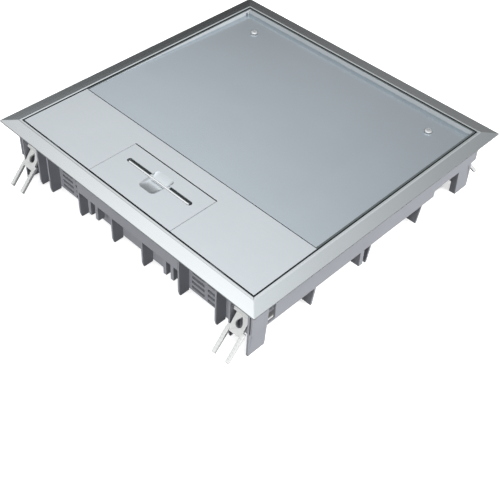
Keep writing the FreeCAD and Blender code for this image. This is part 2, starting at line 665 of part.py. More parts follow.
def flap_plate():
    """Metal face of the flap: a sheet with the scoop pressed into it and the slot."""
    half = FLAP_WIDTH / 2
    plate = block(-half, half, -LID_HALF + 0.1, FLAP_REAR, SHEET_LOW, LID_TOP)
    dish = scoop(LID_TOP, DISH).common(block(-half, half, -LID_HALF, FLAP_REAR, FLAP_LOW, LID_TOP))
    return minus(joined([plate, dish]), [scoop(LID_TOP + 1, 0), bar_slot(bar_groove_low(), LID_TOP + 1)])


def flap_body():
    """Moulding under the flap: walls, scoop opening, bar guides and hinge barrel."""
    half = FLAP_WIDTH / 2 - 1
    front = -LID_HALF + 1
    rear = FLAP_AXIS_Y + FLAP_BARREL[0]
    shell = block(-half, half, front, rear, FLAP_LOW, SHEET_LOW)
    guides = FLAP_WALL + BAR_LEG
    pockets = []
    inner_front = front + FLAP_WALL
    inner_rear = FLAP_AXIS_Y - FLAP_BARREL[0]
    scoop_side = SCOOP_HALF + DISH + FLAP_WALL
    guide_side = BAR_HALF - guides
    roof = SHEET_LOW - FLAP_WALL
    for sign in (-1, 1):
        x_a, x_b = sorted((sign * scoop_side, sign * guide_side))
        pockets.append(block(x_a, x_b, inner_front, BAR_Y - GUIDE_HALF, FLAP_LOW - 1, roof))
        pockets.append(block(x_a, x_b, BAR_Y + GUIDE_HALF, inner_rear, FLAP_LOW - 1, roof))
        x_a, x_b = sorted((sign * (BAR_HALF + guides), sign * (half - FLAP_WALL)))
        pockets.append(block(x_a, x_b, inner_front, inner_rear, FLAP_LOW - 1, roof))
    cuts = pockets + [scoop(SHEET_LOW + 1, DISH), scoop_front(FLAP_LOW - 1, SHEET_LOW + 1, DISH)]
    cuts.append(bar_slot(bar_groove_low(), SHEET_LOW + 1))
    barrel_low = FLAP_AXIS_Z - FLAP_BARREL[1]
    cuts.append(block(-half - 1, half + 1, FLAP_AXIS_Y, rear + 1, FLAP_LOW - 1, barrel_low))
    deep = BAR / 2 + BAR_CLEAR
    for sign in (-1, 1):
        outer = sign * (BAR_HALF + BAR_CLEAR)
        inner = sign * (BAR_HALF - BAR_LEG - BAR_CLEAR)
        x_a, x_b = sorted((outer, inner))
        cuts.append(block(x_a, x_b, BAR_Y - deep, BAR_Y + deep, FLAP_LOW - 1, SHEET_LOW + 1))
    cuts.append(flap_pin(PIN_FIT))
    return minus(shell, cuts)


def flap_seal():
    length, width, height = SEAL_SIZE
    y0 = -LID_HALF + 2.0
    return block(-length / 2, length / 2, y0, y0 + width, FLAP_LOW - height, FLAP_LOW)


def pull_bar():
    """Flat bail: a bar on two legs whose hooks stop it at its full travel."""
    top = LID_TOP - 0.2
    y0 = BAR_Y - BAR / 2
    y1 = BAR_Y + BAR / 2
    hook_top = FLAP_LOW - BAR_TRAVEL - 0.5
    low = hook_top - BAR_HOOK
    bail = [rounded_bar(top, y0, y1)]
    for sign in (-1, 1):
        x_a, x_b = sorted((sign * BAR_HALF, sign * (BAR_HALF - BAR_LEG)))
        bail.append(block(x_a, x_b, y0, y1, low, top - BAR_HEIGHT / 2))
        x_a, x_b = sorted((sign * BAR_HALF, sign * (BAR_HALF + BAR_HOOK)))
        bail.append(block(x_a, x_b, y0, y1, low, hook_top))
    return joined(bail)


def rounded_bar(top, y0, y1):
    """Top length of the bail, rounded at its two upper corners."""
    solid = block(-BAR_HALF, BAR_HALF, y0, y1, top - BAR_HEIGHT, top)
    ends = []
    for edge in solid.Edges:
        along_y = abs(edge.tangentAt(0).y) > 0.9
        if along_y and edge.CenterOfMass.z > top - 0.01:
            ends.append(edge)
    return solid.makeFillet(BAR_HEIGHT * 0.45, ends)


def cup_tabs(x):
    """Columns of the tabs that reach through the louvre slots."""
    if x:
        return [(x - SLOT_COLUMN, SLOT_WIDTH), (x + SLOT_COLUMN, SLOT_WIDTH)]
    return [(0.0, MIDDLE_SLOT_WIDTH)]


def device_cup(x):
    """Open box that hangs between the front and back walls by its tabs."""
    half = CUP_WIDTH / 2
    outer = chamfered_block(x - half, x + half, -CUP_END, CUP_END, CUP_LOW, CUP_TOP, CUP_CORNER)
    floor = CUP_LOW + CUP_WALL
    inside = half - CUP_WALL
    end = CUP_END - CUP_WALL
    inner = chamfered_block(x - inside, x + inside, -end, end, floor, CUP_TOP + 1, CUP_CORNER / 2)
    parts = [outer.cut(inner)]
    for centre, width in cup_tabs(x):
        reach = width / 2 - TAB_FIT
        low = SLOT_ROW_Z + TAB_FIT
        high = SLOT_ROW_Z + SLOT_HEIGHT - TAB_FIT
        tab = block(centre - reach, centre + reach, CUP_END - 1, INNER_FACE - 0.4, low, high)
        parts += [tab, mirrored_y(tab)]
    for y in (ENTRY_Y - POST_SPACING / 2, ENTRY_Y + POST_SPACING / 2):
        parts.append(rod(POST_R, at(x + CLAMP_ASIDE, y, CUP_LOW), POST_HEIGHT, Z_AXIS))
    entry = rod(ENTRY_R, at(x, ENTRY_Y, CUP_LOW - 1), CUP_WALL + 2, Z_AXIS)
    return joined(parts).cut(entry)


def carrier(x):
    """Plate on top of a cup, with four square seats for inserts."""
    half = CUP_WIDTH / 2
    plate = chamfered_block(x - half, x + half, -CUP_END, CUP_END, CUP_TOP, CARRIER_TOP, CUP_CORNER)
    seat = INSERT_BODY / 2 + INSERT_FIT
    seats = []
    for y in INSERT_Y:
        seats.append(block(x - seat, x + seat, y - seat, y + seat, CUP_TOP - 1, CARRIER_TOP + 1))
    return minus(plate, seats)


def insert_blank(x, y, low):
    """Face plate and body that all inserts share."""
    half = INSERT_FACE / 2
    face = chamfered_block(x - half, x + half, y - half, y + half, CARRIER_TOP, FACE_TOP, FACE_CORNER)
    half = INSERT_BODY / 2
    body = block(x - half, x + half, y - half, y + half, low, CARRIER_TOP)
    return joined([face, body])


def contact_places(x, y):
    return [(x - CONTACT_SPACING / 2, y), (x + CONTACT_SPACING / 2, y)]


def power_socket(x, y):
    """Round socket recess with two contact holes and a pocket under each."""
    shape = insert_blank(x, y, INSERT_LOW)
    recess = rod(SOCKET_R, at(x, y, SOCKET_FLOOR), SOCKET_DEPTH + 1, Z_AXIS)
    cuts = [recess]
    for cx, cy in contact_places(x, y):
        hole_low = SOCKET_FLOOR - CONTACT_COVER - 1
        cuts.append(rod(CONTACT_HOLE_R, at(cx, cy, hole_low), CONTACT_COVER + 2, Z_AXIS))
        cuts.append(contact_room(cx, cy, 0, INSERT_LOW - 1))
    return minus(shape, cuts)


def contact_room(cx, cy, inside, low):
    """Space of a contact under its hole, taken smaller by a clearance or wall."""
    half_x = CONTACT_ROOM[0] / 2 - inside
    half_y = CONTACT_ROOM[1] / 2 - inside
    top = SOCKET_FLOOR - CONTACT_COVER
    return block(cx - half_x, cx + half_x, cy - half_y, cy + half_y, low, top)


def power_contacts(x, y):
    """Folded brass contacts: two leaves joined by a back, seen from above a U."""
    contacts = []
    for cx, cy in contact_places(x, y):
        metal = contact_room(cx, cy, PIN_FIT, INSERT_LOW)
        leaf_gap = CONTACT_ROOM[0] / 2 - PIN_FIT - CONTACT_METAL
        back = cy + CONTACT_ROOM[1] / 2 - PIN_FIT - CONTACT_METAL
        front = cy - CONTACT_ROOM[1]
        metal = metal.cut(block(cx - leaf_gap, cx + leaf_gap, front, back, INSERT_LOW - 1, SOCKET_FLOOR))
        contacts.append(metal)
    return contacts


def earth_clips(x, y):
    """Two bent earth strips standing at the recess wall."""
    thick, width, height = EARTH_CLIP
    clips = []
    for sign in (-1, 1):
        wall = SOCKET_R - 0.6
        profile = [
            (wall, SOCKET_FLOOR),
            (wall, SOCKET_FLOOR + height),
            (wall - thick, SOCKET_FLOOR + height),
            (wall - thick - 1.4, SOCKET_FLOOR + height * 0.6),
            (wall - thick, SOCKET_FLOOR),
        ]
        points = [at(x - width / 2, y + sign * across, z) for across, z in profile]
        clips.append(outline(points).extrude(at(width, 0, 0)))
    return clips


def data_module(x, y):
    """Insert with two rectangular data ports."""
    shape = insert_blank(x, y, INSERT_LOW)
    width, height, depth = PORT_SIZE
    cuts = []
    for sign in (-1, 1):
        cx = x + sign * PORT_SPACING / 2
        z0 = FACE_TOP - depth
        port = block(cx - width / 2, cx + width / 2, y - height / 2, y + height / 2, z0, FACE_TOP + 1)
        groove = PORT_KEY[0] / 2
        top = y + height / 2
        key = block(cx - groove, cx + groove, top - 1, top + PORT_KEY[1], z0, FACE_TOP + 1)
        cuts += [port, key]
    return minus(shape, cuts)


def blank_plate(x, y):
    """Cover of an unused seat, held by a low spigot."""
    return insert_blank(x, y, CUP_TOP - 4)


def grommet(x):
    """Rubber bush in the cable entry of a cup's floor."""
    width, height = GROMMET_LIP
    lip = rod(ENTRY_R + width, at(x, ENTRY_Y, CUP_LOW + CUP_WALL), height, Z_AXIS)
    neck_r = ENTRY_R - GROMMET_NECK_FIT
    neck = rod(neck_r, at(x, ENTRY_Y, CUP_LOW - 1), CUP_WALL + 1 + height, Z_AXIS)
    bore = rod(GROMMET_BORE_R, at(x, ENTRY_Y, CUP_LOW - 2), CUP_WALL + 4 + height, Z_AXIS)
    return joined([lip, neck]).cut(bore)


def cable_clamp(x):
    """Strain relief bar across the two posts beside the cable entry."""
    width, length, thick = CLAMP
    z0 = CUP_LOW + POST_HEIGHT
    x0 = x + CLAMP_ASIDE - width / 2
    bar = block(x0, x0 + width, ENTRY_Y - length / 2, ENTRY_Y + length / 2, z0, z0 + thick)
    arch = rod(CLAMP_ARCH_R, at(x0 - 1, ENTRY_Y, z0 - CLAMP_ARCH_DROP), width + 2, X_AXIS)
    return bar.cut(arch)


def lid_buffers():
    """Rubber pads on the ledge, just under the rim of the closed lid."""
    length, width = BUFFER_SIZE
    outer = LID_HALF + SEAT
    low = (LEDGE_Z, LID_EDGE_LOW - SEAT)
    pads = []
    for along in (BUFFER_SIDE - LID_HALF, LID_HALF - BUFFER_SIDE):
        x0 = along - length / 2
        pads.append(block(x0, x0 + length, -outer, -outer + width, *low))
        pads.append(block(outer - width, outer, x0, x0 + length, *low))
        pads.append(block(-outer, -outer + width, x0, x0 + length, *low))
    return pads


def latch_clip(x):
    """Spring steel clip on the front ledge that grips the strip's fold."""
    width, foot_length, strap = LATCH
    x0 = x - width / 2
    x1 = x0 + width
    face = -RIM_INNER + SEAT
    fold_low = LID_TOP - STRIP_FOLD
    base = block(x0, x1, face, face + foot_length, LEDGE_Z, LEDGE_Z + strap)
    leaf = block(x0, x1, face, face + strap, LEDGE_Z, fold_low + STRIP_FOLD / 2)
    bump = rod(LATCH_BUMP_R, at(x0, face + strap, fold_low + STRIP_FOLD / 4), width, X_AXIS)
    bump = bump.common(block(x0, x1, face, face + strap + LATCH_BUMP_R, LEDGE_Z, LID_TOP))
    return joined([base, leaf, bump])


def hinge_pins():
    """Lid hinge pins, from the outer wall through the rim into the lid."""
    inner = LID_INSIDE + 0.2
    return [hinge_hole(inner, WALL_FACE, 0), hinge_hole(-WALL_FACE, -inner, 0)]


def build():
    parts = {}
    front = frame_long_side(SKIRT_LOW)
    back = mirrored_y(frame_long_side(SKIRT_STEP_LOW))
    holes = [hinge_hole(RIM_INNER - 1, WALL_FACE + 1, PIN_FIT)]
    holes.append(mirrored_x(holes[0]))
    parts["frame_front"] = front
    parts["frame_back"] = minus(back, holes)
    parts["frame_right"] = frame_short_side()
    parts["frame_left"] = mirrored_x(parts["frame_right"])
    trim = rim_trim()
    parts["rim_trim_front"] = trim
    parts["rim_trim_back"] = turned(trim, 180)
    parts["rim_trim_right"] = minus(turned(trim, 90), holes)
    parts["rim_trim_left"] = minus(turned(trim, -90), holes)
    parts["corner_brackets"] = four_corners(corner_bracket())
    parts["hinge_pins"] = hinge_pins()
    clip_x = LID_HALF - LATCH_SIDE
    parts["latch_clips"] = [latch_clip(-clip_x), latch_clip(clip_x)]
    parts["lid_buffers"] = lid_buffers()
    parts["claw_pins"] = four_corners(claw_pin_axis(CLAW_PIN_R))
    claws = four_corners(claw())
    names = ("front_right", "front_left", "back_right", "back_left")
    for name, shape in zip(names, claws):
        parts["claw_" + name] = shape
    for name, x in BAYS.items():
        parts["cup_" + name] = device_cup(x)
        parts["carrier_" + name] = carrier(x)
    for name in ("left", "right"):
        x = BAYS[name]
        for number, y in enumerate(INSERT_Y[:3], 1):
            parts["power_socket_%s_%d" % (name, number)] = power_socket(x, y)
        parts["power_contacts_" + name] = sum([power_contacts(x, y) for y in INSERT_Y[:3]], [])
        parts["earth_clips_" + name] = sum([earth_clips(x, y) for y in INSERT_Y[:3]], [])
    parts["data_module_front"] = data_module(0.0, INSERT_Y[0])
    parts["data_module_back"] = data_module(0.0, INSERT_Y[1])
    blanks = [(x, INSERT_Y[3]) for x in BAYS.values()] + [(0.0, INSERT_Y[2])]
    parts["blank_plates"] = [blank_plate(x, y) for x, y in blanks]
    parts["cable_grommets"] = [grommet(x) for x in BAYS.values()]
    parts["cable_clamps"] = [cable_clamp(x) for x in BAYS.values()]
    parts["lid_tray"] = lid_tray()
    parts["front_strip"] = front_strip()
    parts["inlay_plate"] = inlay_plate()
    parts["plate_screws"] = plate_screws()
    parts["lid_stiffeners"] = lid_stiffeners()
    parts["flap_pin"] = flap_pin(0)
    parts["flap_plate"] = flap_plate()
    parts["flap_body"] = flap_body()
    parts["flap_seal"] = flap_seal()
    parts["pull_bar"] = pull_bar()
    return parts


def export(parts):
    os.makedirs("parts", exist_ok=True)
    for name, shape in parts.items():
        if isinstance(shape, list):
            shape = Part.makeCompound(shape)
        shape.exportStep("parts/%s.step" % name)
        print(name, "solids", len(shape.Solids), "valid", shape.isValid())


export(build())
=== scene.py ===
"""Looks of a square floor socket box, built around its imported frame, in metres."""

import logging
import math
from dataclasses import dataclass
from enum import Enum
from typing import Callable, Iterable

import bmesh
import bpy
from mathutils import Matrix, Vector


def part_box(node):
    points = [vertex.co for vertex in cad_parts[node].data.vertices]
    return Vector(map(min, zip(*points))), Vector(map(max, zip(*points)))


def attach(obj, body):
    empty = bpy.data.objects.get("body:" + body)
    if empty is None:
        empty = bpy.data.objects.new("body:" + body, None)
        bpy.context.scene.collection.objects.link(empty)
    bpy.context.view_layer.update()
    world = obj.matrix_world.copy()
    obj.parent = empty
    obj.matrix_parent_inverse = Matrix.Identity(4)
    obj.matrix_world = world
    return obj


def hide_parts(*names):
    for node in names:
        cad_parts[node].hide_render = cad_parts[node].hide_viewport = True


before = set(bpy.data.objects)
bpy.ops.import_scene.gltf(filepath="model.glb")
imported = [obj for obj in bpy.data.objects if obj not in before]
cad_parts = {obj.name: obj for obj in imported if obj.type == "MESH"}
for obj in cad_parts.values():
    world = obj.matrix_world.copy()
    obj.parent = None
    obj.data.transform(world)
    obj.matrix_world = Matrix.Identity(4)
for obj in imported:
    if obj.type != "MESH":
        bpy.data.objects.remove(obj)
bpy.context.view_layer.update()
LOG = logging.getLogger("floor_box")

Colour = tuple[float, float, float]
Piece = bpy.types.Object
Socket = bpy.types.NodeSocket
Sockets = bpy.types.bpy_prop_collection
Seat = tuple[Vector, Vector]

MM = 0.001
UP = Vector((0.0, 0.0, 1.0))
# Points closer than MERGE become one, and NO_LENGTH is no distance at all.
MERGE = 2e-6
NO_LENGTH = 1e-6
# How far off a point may be from the level or the outline that it belongs to.
NEAR = 0.05 * MM
# Faces that meet at less than FLAT were one face of a CAD solid, at less than SAME_PLANE they
# are one face of a finished piece, and where they meet at more than SHARP the edge is rounded.
FLAT = math.radians(0.5)
SAME_PLANE = math.radians(0.05)
SHARP = math.radians(32.0)
SMOOTH_BELOW = math.radians(50.0)
FACE_WEIGHT = 80
# A wall's normal rises less than UPRIGHT, and that of a face turned down is under DOWNWARD.
UPRIGHT = 0.3
DOWNWARD = -0.9
# Numbers of a Mix node's sockets, which share their names.
FLOAT_A, FLOAT_B, FLOAT_MIX = 2, 3, 0
COLOUR_A, COLOUR_B, COLOUR_MIX = 6, 7, 2


# Workbench: the operations that every sub-assembly uses


class Element(Enum):
    """Kinds of mesh element that can be selected."""

    POINT = "VERT"
    EDGE = "EDGE"
    FACE = "FACE"


class Joining(Enum):
    """Ways to combine two solids."""

    CUT = "DIFFERENCE"
    JOIN = "UNION"


def pick_nothing() -> None:
    """Deselect everything, in object mode."""
    if bpy.context.object is not None and bpy.context.object.mode != "OBJECT":
        bpy.ops.object.mode_set(mode="OBJECT")
    bpy.ops.object.select_all(action="DESELECT")


def pick(*pieces: Piece) -> None:
    """Select only these pieces, the first one active."""
    pick_nothing()
    for piece in pieces:
        piece.select_set(True)
    bpy.context.view_layer.objects.active = pieces[0]


def start_editing(piece: Piece, action: str = "DESELECT") -> None:
    """Open a piece in edit mode with nothing of it selected, or with the given action done."""
    pick(piece)
    bpy.ops.object.mode_set(mode="EDIT")
    bpy.ops.mesh.select_all(action=action)


def stop_editing() -> None:
    """Return to object mode."""
    bpy.ops.object.mode_set(mode="OBJECT")


def edit_some(piece: Piece, kind: Element, chosen: Callable[..., bool]) -> None:
    """Open a piece in edit mode with some of its elements selected.

    Args:
        piece: The piece to shape.
        kind: Kind of the elements.
        chosen: Tells whether an element is selected.
    """
    start_editing(piece)
    bpy.ops.mesh.select_mode(type=kind.value)
    mesh = bmesh.from_edit_mesh(piece.data)
    groups = {Element.POINT: mesh.verts, Element.EDGE: mesh.edges, Element.FACE: mesh.faces}
    for element in groups[kind]:
        element.select_set(bool(chosen(element)))
    bmesh.update_edit_mesh(piece.data)


def take_new(name: str) -> Piece:
    """Name the primitive that was just added and put its place into its mesh.

    Args:
        name: Name of the new piece.

    Returns:
        The piece, with its object at the origin.
    """
    piece = bpy.context.object
    piece.name = name
    piece.data.name = name
    pick(piece)
    bpy.ops.object.transform_apply(location=True, rotation=True, scale=True)
    return piece


def add_block(name: str, low: Vector, high: Vector) -> Piece:
    """Add a block between two corners.

    Args:
        name: Name of the new piece.
        low: Lowest corner.
        high: Highest corner.

    Returns:
        The block, ready to be shaped.
    """
    pick_nothing()
    bpy.ops.mesh.primitive_cube_add(size=1.0, location=(low + high) / 2)
    bpy.context.object.scale = high - low
    return take_new(name)


def add_cylinder(name: str, radius: float, height: float, sides: int) -> Piece:
    """Add an upright cylinder that stands on the origin.

    Args:
        name: Name of the new piece.
        radius: Its radius.
        height: Its height.
        sides: Number of side faces.

    Returns:
        The cylinder, ready to be shaped.
    """
    pick_nothing()
    bpy.ops.mesh.primitive_cylinder_add(
        vertices=sides, radius=radius, depth=height, location=UP * (height / 2),
    )
    return take_new(name)


def merged_copy(node: str, name: str, whole_faces: bool = False) -> Piece:
    """Copy a CAD node into a piece of its own, its loose triangles merged into faces.

    Args:
        node: Name of the CAD node.
        name: Name of the new piece.
        whole_faces: Whether flat faces stay whole, not cut into well-shaped triangles.

    Returns:
        The piece, in the node's place.
    """
    piece = bpy.data.objects.new(name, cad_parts[node].data.copy())
    bpy.context.scene.collection.objects.link(piece)
    piece.data.materials.clear()
    piece.data.polygons.foreach_set("material_index", [0] * len(piece.data.polygons))
    start_editing(piece, "SELECT")
    bpy.ops.mesh.customdata_custom_splitnormals_clear()
    bpy.ops.mesh.remove_doubles(threshold=MERGE)
    bpy.ops.mesh.dissolve_limited(angle_limit=FLAT)
    if not whole_faces:
        bpy.ops.mesh.quads_convert_to_tris(quad_method="BEAUTY", ngon_method="BEAUTY")
    stop_editing()
    return piece


def soften(
    piece: Piece, chosen: Callable[[bmesh.types.BMEdge], bool], width: float, segments: int,
) -> None:
    """Round some of a piece's edges in edit mode.

    Args:
        piece: The piece to shape.
        chosen: Tells whether an edge is rounded.
        width: How far the rounding reaches from an edge.
        segments: Number of steps across the rounding.
    """
    edit_some(piece, Element.EDGE, chosen)
    bpy.ops.mesh.bevel(offset=width, segments=segments, affect="EDGES", clamp_overlap=True)
    stop_editing()


def is_upright(edge: bmesh.types.BMEdge) -> bool:
    """Whether an edge stands upright."""
    first, second = (point.co for point in edge.verts)
    return abs(first.z - second.z) > NO_LENGTH and (first.xy - second.xy).length < NO_LENGTH


def push(
    piece: Piece, chosen: Callable[[bmesh.types.BMVert], bool], offset: tuple[float, float, float],
) -> None:
    """Move some of a piece's points in edit mode.

    Args:
        piece: The piece to shape.
        chosen: Tells whether a point is moved.
        offset: How far it moves along each axis.
    """
    edit_some(piece, Element.POINT, chosen)
    bpy.ops.transform.translate(value=offset)
    stop_editing()


def finish_with(piece: Piece, kind: str, **settings: object) -> None:
    """Add a modifier and apply it.

    Args:
        piece: The piece to change.
        kind: Kind of modifier, such as BEVEL.
        **settings: Its settings by name.
    """
    modifier = piece.modifiers.new(kind.title(), kind)
    for key, value in settings.items():
        setattr(modifier, key, value)
    pick(piece)
    bpy.ops.object.modifier_apply(modifier=modifier.name)


def combine(piece: Piece, way: Joining, other: Piece) -> None:
    """Cut another solid out of a piece or join it on, and remove the other one."""
    finish_with(piece, "BOOLEAN", operation=way.value, object=other, solver="EXACT")
    bpy.data.objects.remove(other)


def round_edges(piece: Piece, width: float, segments: int = 2) -> None:
    """Round a piece's sharp edges, as material 1, and shade it smooth.

    Args:
        piece: The piece to round.
        width: How far the rounding reaches from an edge.
        segments: Number of steps across the rounding.
    """
    while len(piece.data.materials) < 2:
        piece.data.materials.append(None)
    finish_with(
        piece, "BEVEL", width=width, segments=segments, limit_method="ANGLE",
        angle_limit=SHARP, use_clamp_overlap=False, miter_outer="MITER_ARC", material=1,
    )
    start_editing(piece, "SELECT")
    bpy.ops.mesh.dissolve_limited(angle_limit=SAME_PLANE, delimit={"MATERIAL"})
    stop_editing()
    smooth(piece)


def smooth(piece: Piece) -> None:
    """Shade a piece smooth, with its large faces kept flat."""
    pick(piece)
    bpy.ops.object.shade_smooth_by_angle(angle=SMOOTH_BELOW)
    finish_with(piece, "WEIGHTED_NORMAL", keep_sharp=True, weight=FACE_WEIGHT)


# Node trees: what the finishes, the floor and the sky are wired with


def shaded(colour: Colour, factor: float) -> Colour:
    """A colour made darker or lighter by a factor."""
    return tuple(min(1.0, part * factor) for part in colour)


def grey(level: float) -> Colour:
    """A grey of this level."""
    return (level, level, level)


class Graph:
    """A node tree with short ways to add nodes and to connect them."""

    def __init__(self, tree: bpy.types.NodeTree) -> None:
        """Take a node tree."""
        self.tree = tree

    def feed(self, inputs: Sockets, values: dict[str | int, object]) -> None:
        """Connect sockets to inputs, or set the inputs to plain values.

        Args:
            inputs: The inputs of a node.
            values: Sockets or plain values by the name or number of their input.
        """
        for key, value in values.items():
            if isinstance(value, Socket):
                self.tree.links.new(value, inputs[key])
            else:
                inputs[key].default_value = value

    def add(
        self, kind: str, values: dict[str | int, object] | None = None, **settings: object,
    ) -> Sockets:
        """Add a node.

        Args:
            kind: Its type, without the ShaderNode that each one starts with.
            values: Sockets or plain values for its inputs.
            **settings: Its own settings by name.

        Returns:
            Its outputs.
        """
        node = self.tree.nodes.new(f"ShaderNode{kind}")
        for key, value in settings.items():
            setattr(node, key, value)
        self.feed(node.inputs, values or {})
        return node.outputs

    def math(self, operation: str, *values: Socket | float, clamped: bool = False) -> Socket:
        """Combine sockets and numbers."""
        return self.add("Math", dict(enumerate(values)), operation=operation, use_clamp=clamped)[0]

    def vector_math(self, operation: str, *values: object) -> Sockets:
        """Combine directions; the outputs are a vector and a value."""
        return self.add("VectorMath", dict(enumerate(values)), operation=operation)

    def ranged(
        self, value: Socket, source: tuple[float, float] = (0.0, 1.0),
        target: tuple[float, float] = (0.0, 1.0), interpolation: str = "LINEAR",
    ) -> Socket:
        """Map a value from one range onto another.

        Args:
            value: The value.
            source: Ends of the range that it comes from.
            target: Ends of the range that it is mapped onto.
            interpolation: How it runs between the ends.

        Returns:
            The mapped value.
        """
        values = {
            "Value": value, "From Min": source[0], "From Max": source[1],
            "To Min": target[0], "To Max": target[1],
        }
        return self.add("MapRange", values, interpolation_type=interpolation)["Result"]

    def blended(self, share: float, first: Socket, second: Socket) -> Socket:
        """Mix two masks, the second with this share."""
        return self.add("Mix", {"Factor": share, FLOAT_A: first, FLOAT_B: second})[FLOAT_MIX]

    def mixed(
        self, share: Socket | float, first: object, second: object, blend: str = "MIX",
    ) -> Socket:
        """Mix two colours.

        Args:
            share: How much of the second one shows.
            first: First colour, a socket or four numbers.
            second: Second colour, likewise.
            blend: Blend type, such as MULTIPLY.

        Returns:
            The mixed colour.
        """
        values = {"Factor": share, COLOUR_A: first, COLOUR_B: second}
        return self.add("Mix", values, data_type="RGBA", blend_type=blend)[COLOUR_MIX]

    def tinted(self, mask: Socket, first: Colour | Socket, second: Colour) -> Socket:
        """Show the second colour where the mask is set, and the first one elsewhere."""
        base = first if isinstance(first, Socket) else (*first, 1.0)
        return self.mixed(mask, base, (*second, 1.0))


class GroupName(Enum):
    """Shader node groups that the finishes place."""

    BRUSH_LINES = "brush_lines"
    SPARK_GRAIN = "spark_grain"
    HANDLING = "handling_marks"
    EDGE_WEAR = "edge_wear"


class SharedGroup(Graph):
    """A shader node group with a Vector input, float inputs and float outputs."""

    def __init__(self, name: GroupName, inputs: dict[str, float], outputs: Iterable[str]) -> None:
        """Start the group.

        Args:
            name: Name of the group.
            inputs: Float inputs with their default values.
            outputs: Names of the float outputs.
        """
        super().__init__(bpy.data.node_groups.new(name.value, "ShaderNodeTree"))
        interface = self.tree.interface
        interface.new_socket(name="Vector", in_out="INPUT", socket_type="NodeSocketVector")
        for key, value in inputs.items():
            socket = interface.new_socket(name=key, in_out="INPUT", socket_type="NodeSocketFloat")
            socket.default_value = value
        for key in outputs:
            interface.new_socket(name=key, in_out="OUTPUT", socket_type="NodeSocketFloat")
        self.given = self.tree.nodes.new("NodeGroupInput").outputs
        self.result = self.tree.nodes.new("NodeGroupOutput").inputs

    def noise(self, scale: Socket | float, detail: float, distortion: float = 0.0) -> Socket:
        """Add a noise texture on the group's Vector input."""
        values = {
            "Vector": self.given["Vector"], "Scale": scale, "Detail": detail,
            "Distortion": distortion,
        }
        return self.add("TexNoise", values)["Fac"]


def build_brush_lines() -> None:
    """Group of fine parallel lines and the broad streaks between them."""
    group = SharedGroup(GroupName.BRUSH_LINES, {"Line Scale": 1.0}, ("Lines", "Streaks"))
    lines = group.noise(group.given["Line Scale"], detail=1.5)
    streaks = group.noise(scale=0.12, detail=2.0)
    group.feed(group.result, {"Lines": lines, "Streaks": streaks})


def build_spark_grain() -> None:
    """Group of the fine texture that a spark-eroded mould leaves on plastic."""
    group = SharedGroup(GroupName.SPARK_GRAIN, {"Grain Scale": 2600.0}, ("Height", "Tone"))
    scale = group.given["Grain Scale"]
    values = {"Vector": group.given["Vector"], "Scale": scale}
    cells = group.add("TexVoronoi", values, feature="SMOOTH_F1")["Distance"]
    fine, fine_share = group.noise(scale, detail=2.0), 0.6
    height = group.math("MULTIPLY_ADD", fine, fine_share, cells)
    tone = group.noise(scale=34.0, detail=3.0)
    group.feed(group.result, {"Height": height, "Tone": tone})


def build_handling_marks() -> None:
    """Group of soft patches where hands and cloths have changed the gloss."""
    group = SharedGroup(GroupName.HANDLING, {"Contrast": 1.6}, ("Mask",))
    middle = 0.5
    lifted = group.math("SUBTRACT", group.noise(scale=16.0, detail=4.0, distortion=0.8), middle)
    spread = group.math("MULTIPLY", lifted, group.given["Contrast"])
    group.feed(group.result, {"Mask": group.math("ADD", spread, middle, clamped=True)})


def build_edge_wear() -> None:
    """Group of broken patches where a rounded edge is rubbed bare."""
    group = SharedGroup(GroupName.EDGE_WEAR, {"Amount": 0.5}, ("Mask",))
    threshold, steepness = 1.35, 5.0
    chips = group.noise(scale=420.0, detail=3.0)
    zones = group.noise(scale=22.0, detail=2.0)
    raised = group.math("ADD", group.math("ADD", chips, zones), group.given["Amount"])
    lifted = group.math("SUBTRACT", raised, threshold)
    group.feed(group.result, {"Mask": group.math("MULTIPLY", lifted, steepness, clamped=True)})


class MaterialNodes(Graph):
    """A material's node tree, with its Principled shader and object coordinates."""

    def __init__(self, name: str) -> None:
        """Start a new material of this name."""
        self.material = bpy.data.materials.new(name)
        self.material.use_nodes = True
        super().__init__(self.material.node_tree)
        self.shader = self.tree.nodes["Principled BSDF"].inputs
        self.place = self.add("TexCoord")["Object"]

    def stretched(self, scale: Iterable[float]) -> Socket:
        """Object coordinates stretched by three factors."""
        return self.add("Mapping", {"Scale": tuple(scale), "Vector": self.place})["Vector"]

    def group(self, name: GroupName, vector: Socket, **values: float) -> Sockets:
        """Place a shared group with its own values.

        Args:
            name: Name of the group.
            vector: Coordinates that it reads.
            **values: Values of its inputs, named as in grain_scale for Grain Scale.

        Returns:
            Its outputs.
        """
        named = {key.replace("_", " ").title(): value for key, value in values.items()}
        tree = bpy.data.node_groups[name.value]
        return self.add("Group", {"Vector": vector, **named}, node_tree=tree)

    def bump(self, height: Socket, strength: float, distance: float) -> Socket:
        """Turn a height into a normal."""
        values = {"Height": height, "Strength": strength, "Distance": distance}
        return self.add("Bump", values)["Normal"]


# Finishes


@dataclass(frozen=True)
class Finish:
    """Colour and skin of a surface: one material for faces and one for rounded edges."""

    name: str
    colour: Colour

    def material(self, worn: bool = False) -> bpy.types.Material:
        """Return one of the two materials, made once.

        Args:
            worn: Whether it is the one for rounded edges.

        Returns:
            The material.
        """
        name = f"{self.name}_edge" if worn else self.name
        if name not in bpy.data.materials:
            self.wire(MaterialNodes(name), worn)
        return bpy.data.materials[name]

    def wire(self, nodes: MaterialNodes, worn: bool) -> None:
        """Wire a new material, the faces' or, worn, the rounded edges'."""
        raise NotImplementedError


class Brushing(Enum):
    """Direction of the brush lines, as stretch factors for their pattern."""

    ALONG_X = (9.0, 1100.0, 1100.0)
    ALONG_Y = (1100.0, 9.0, 1100.0)
    SHORT_ALONG_X = (30.0, 1300.0, 1300.0)


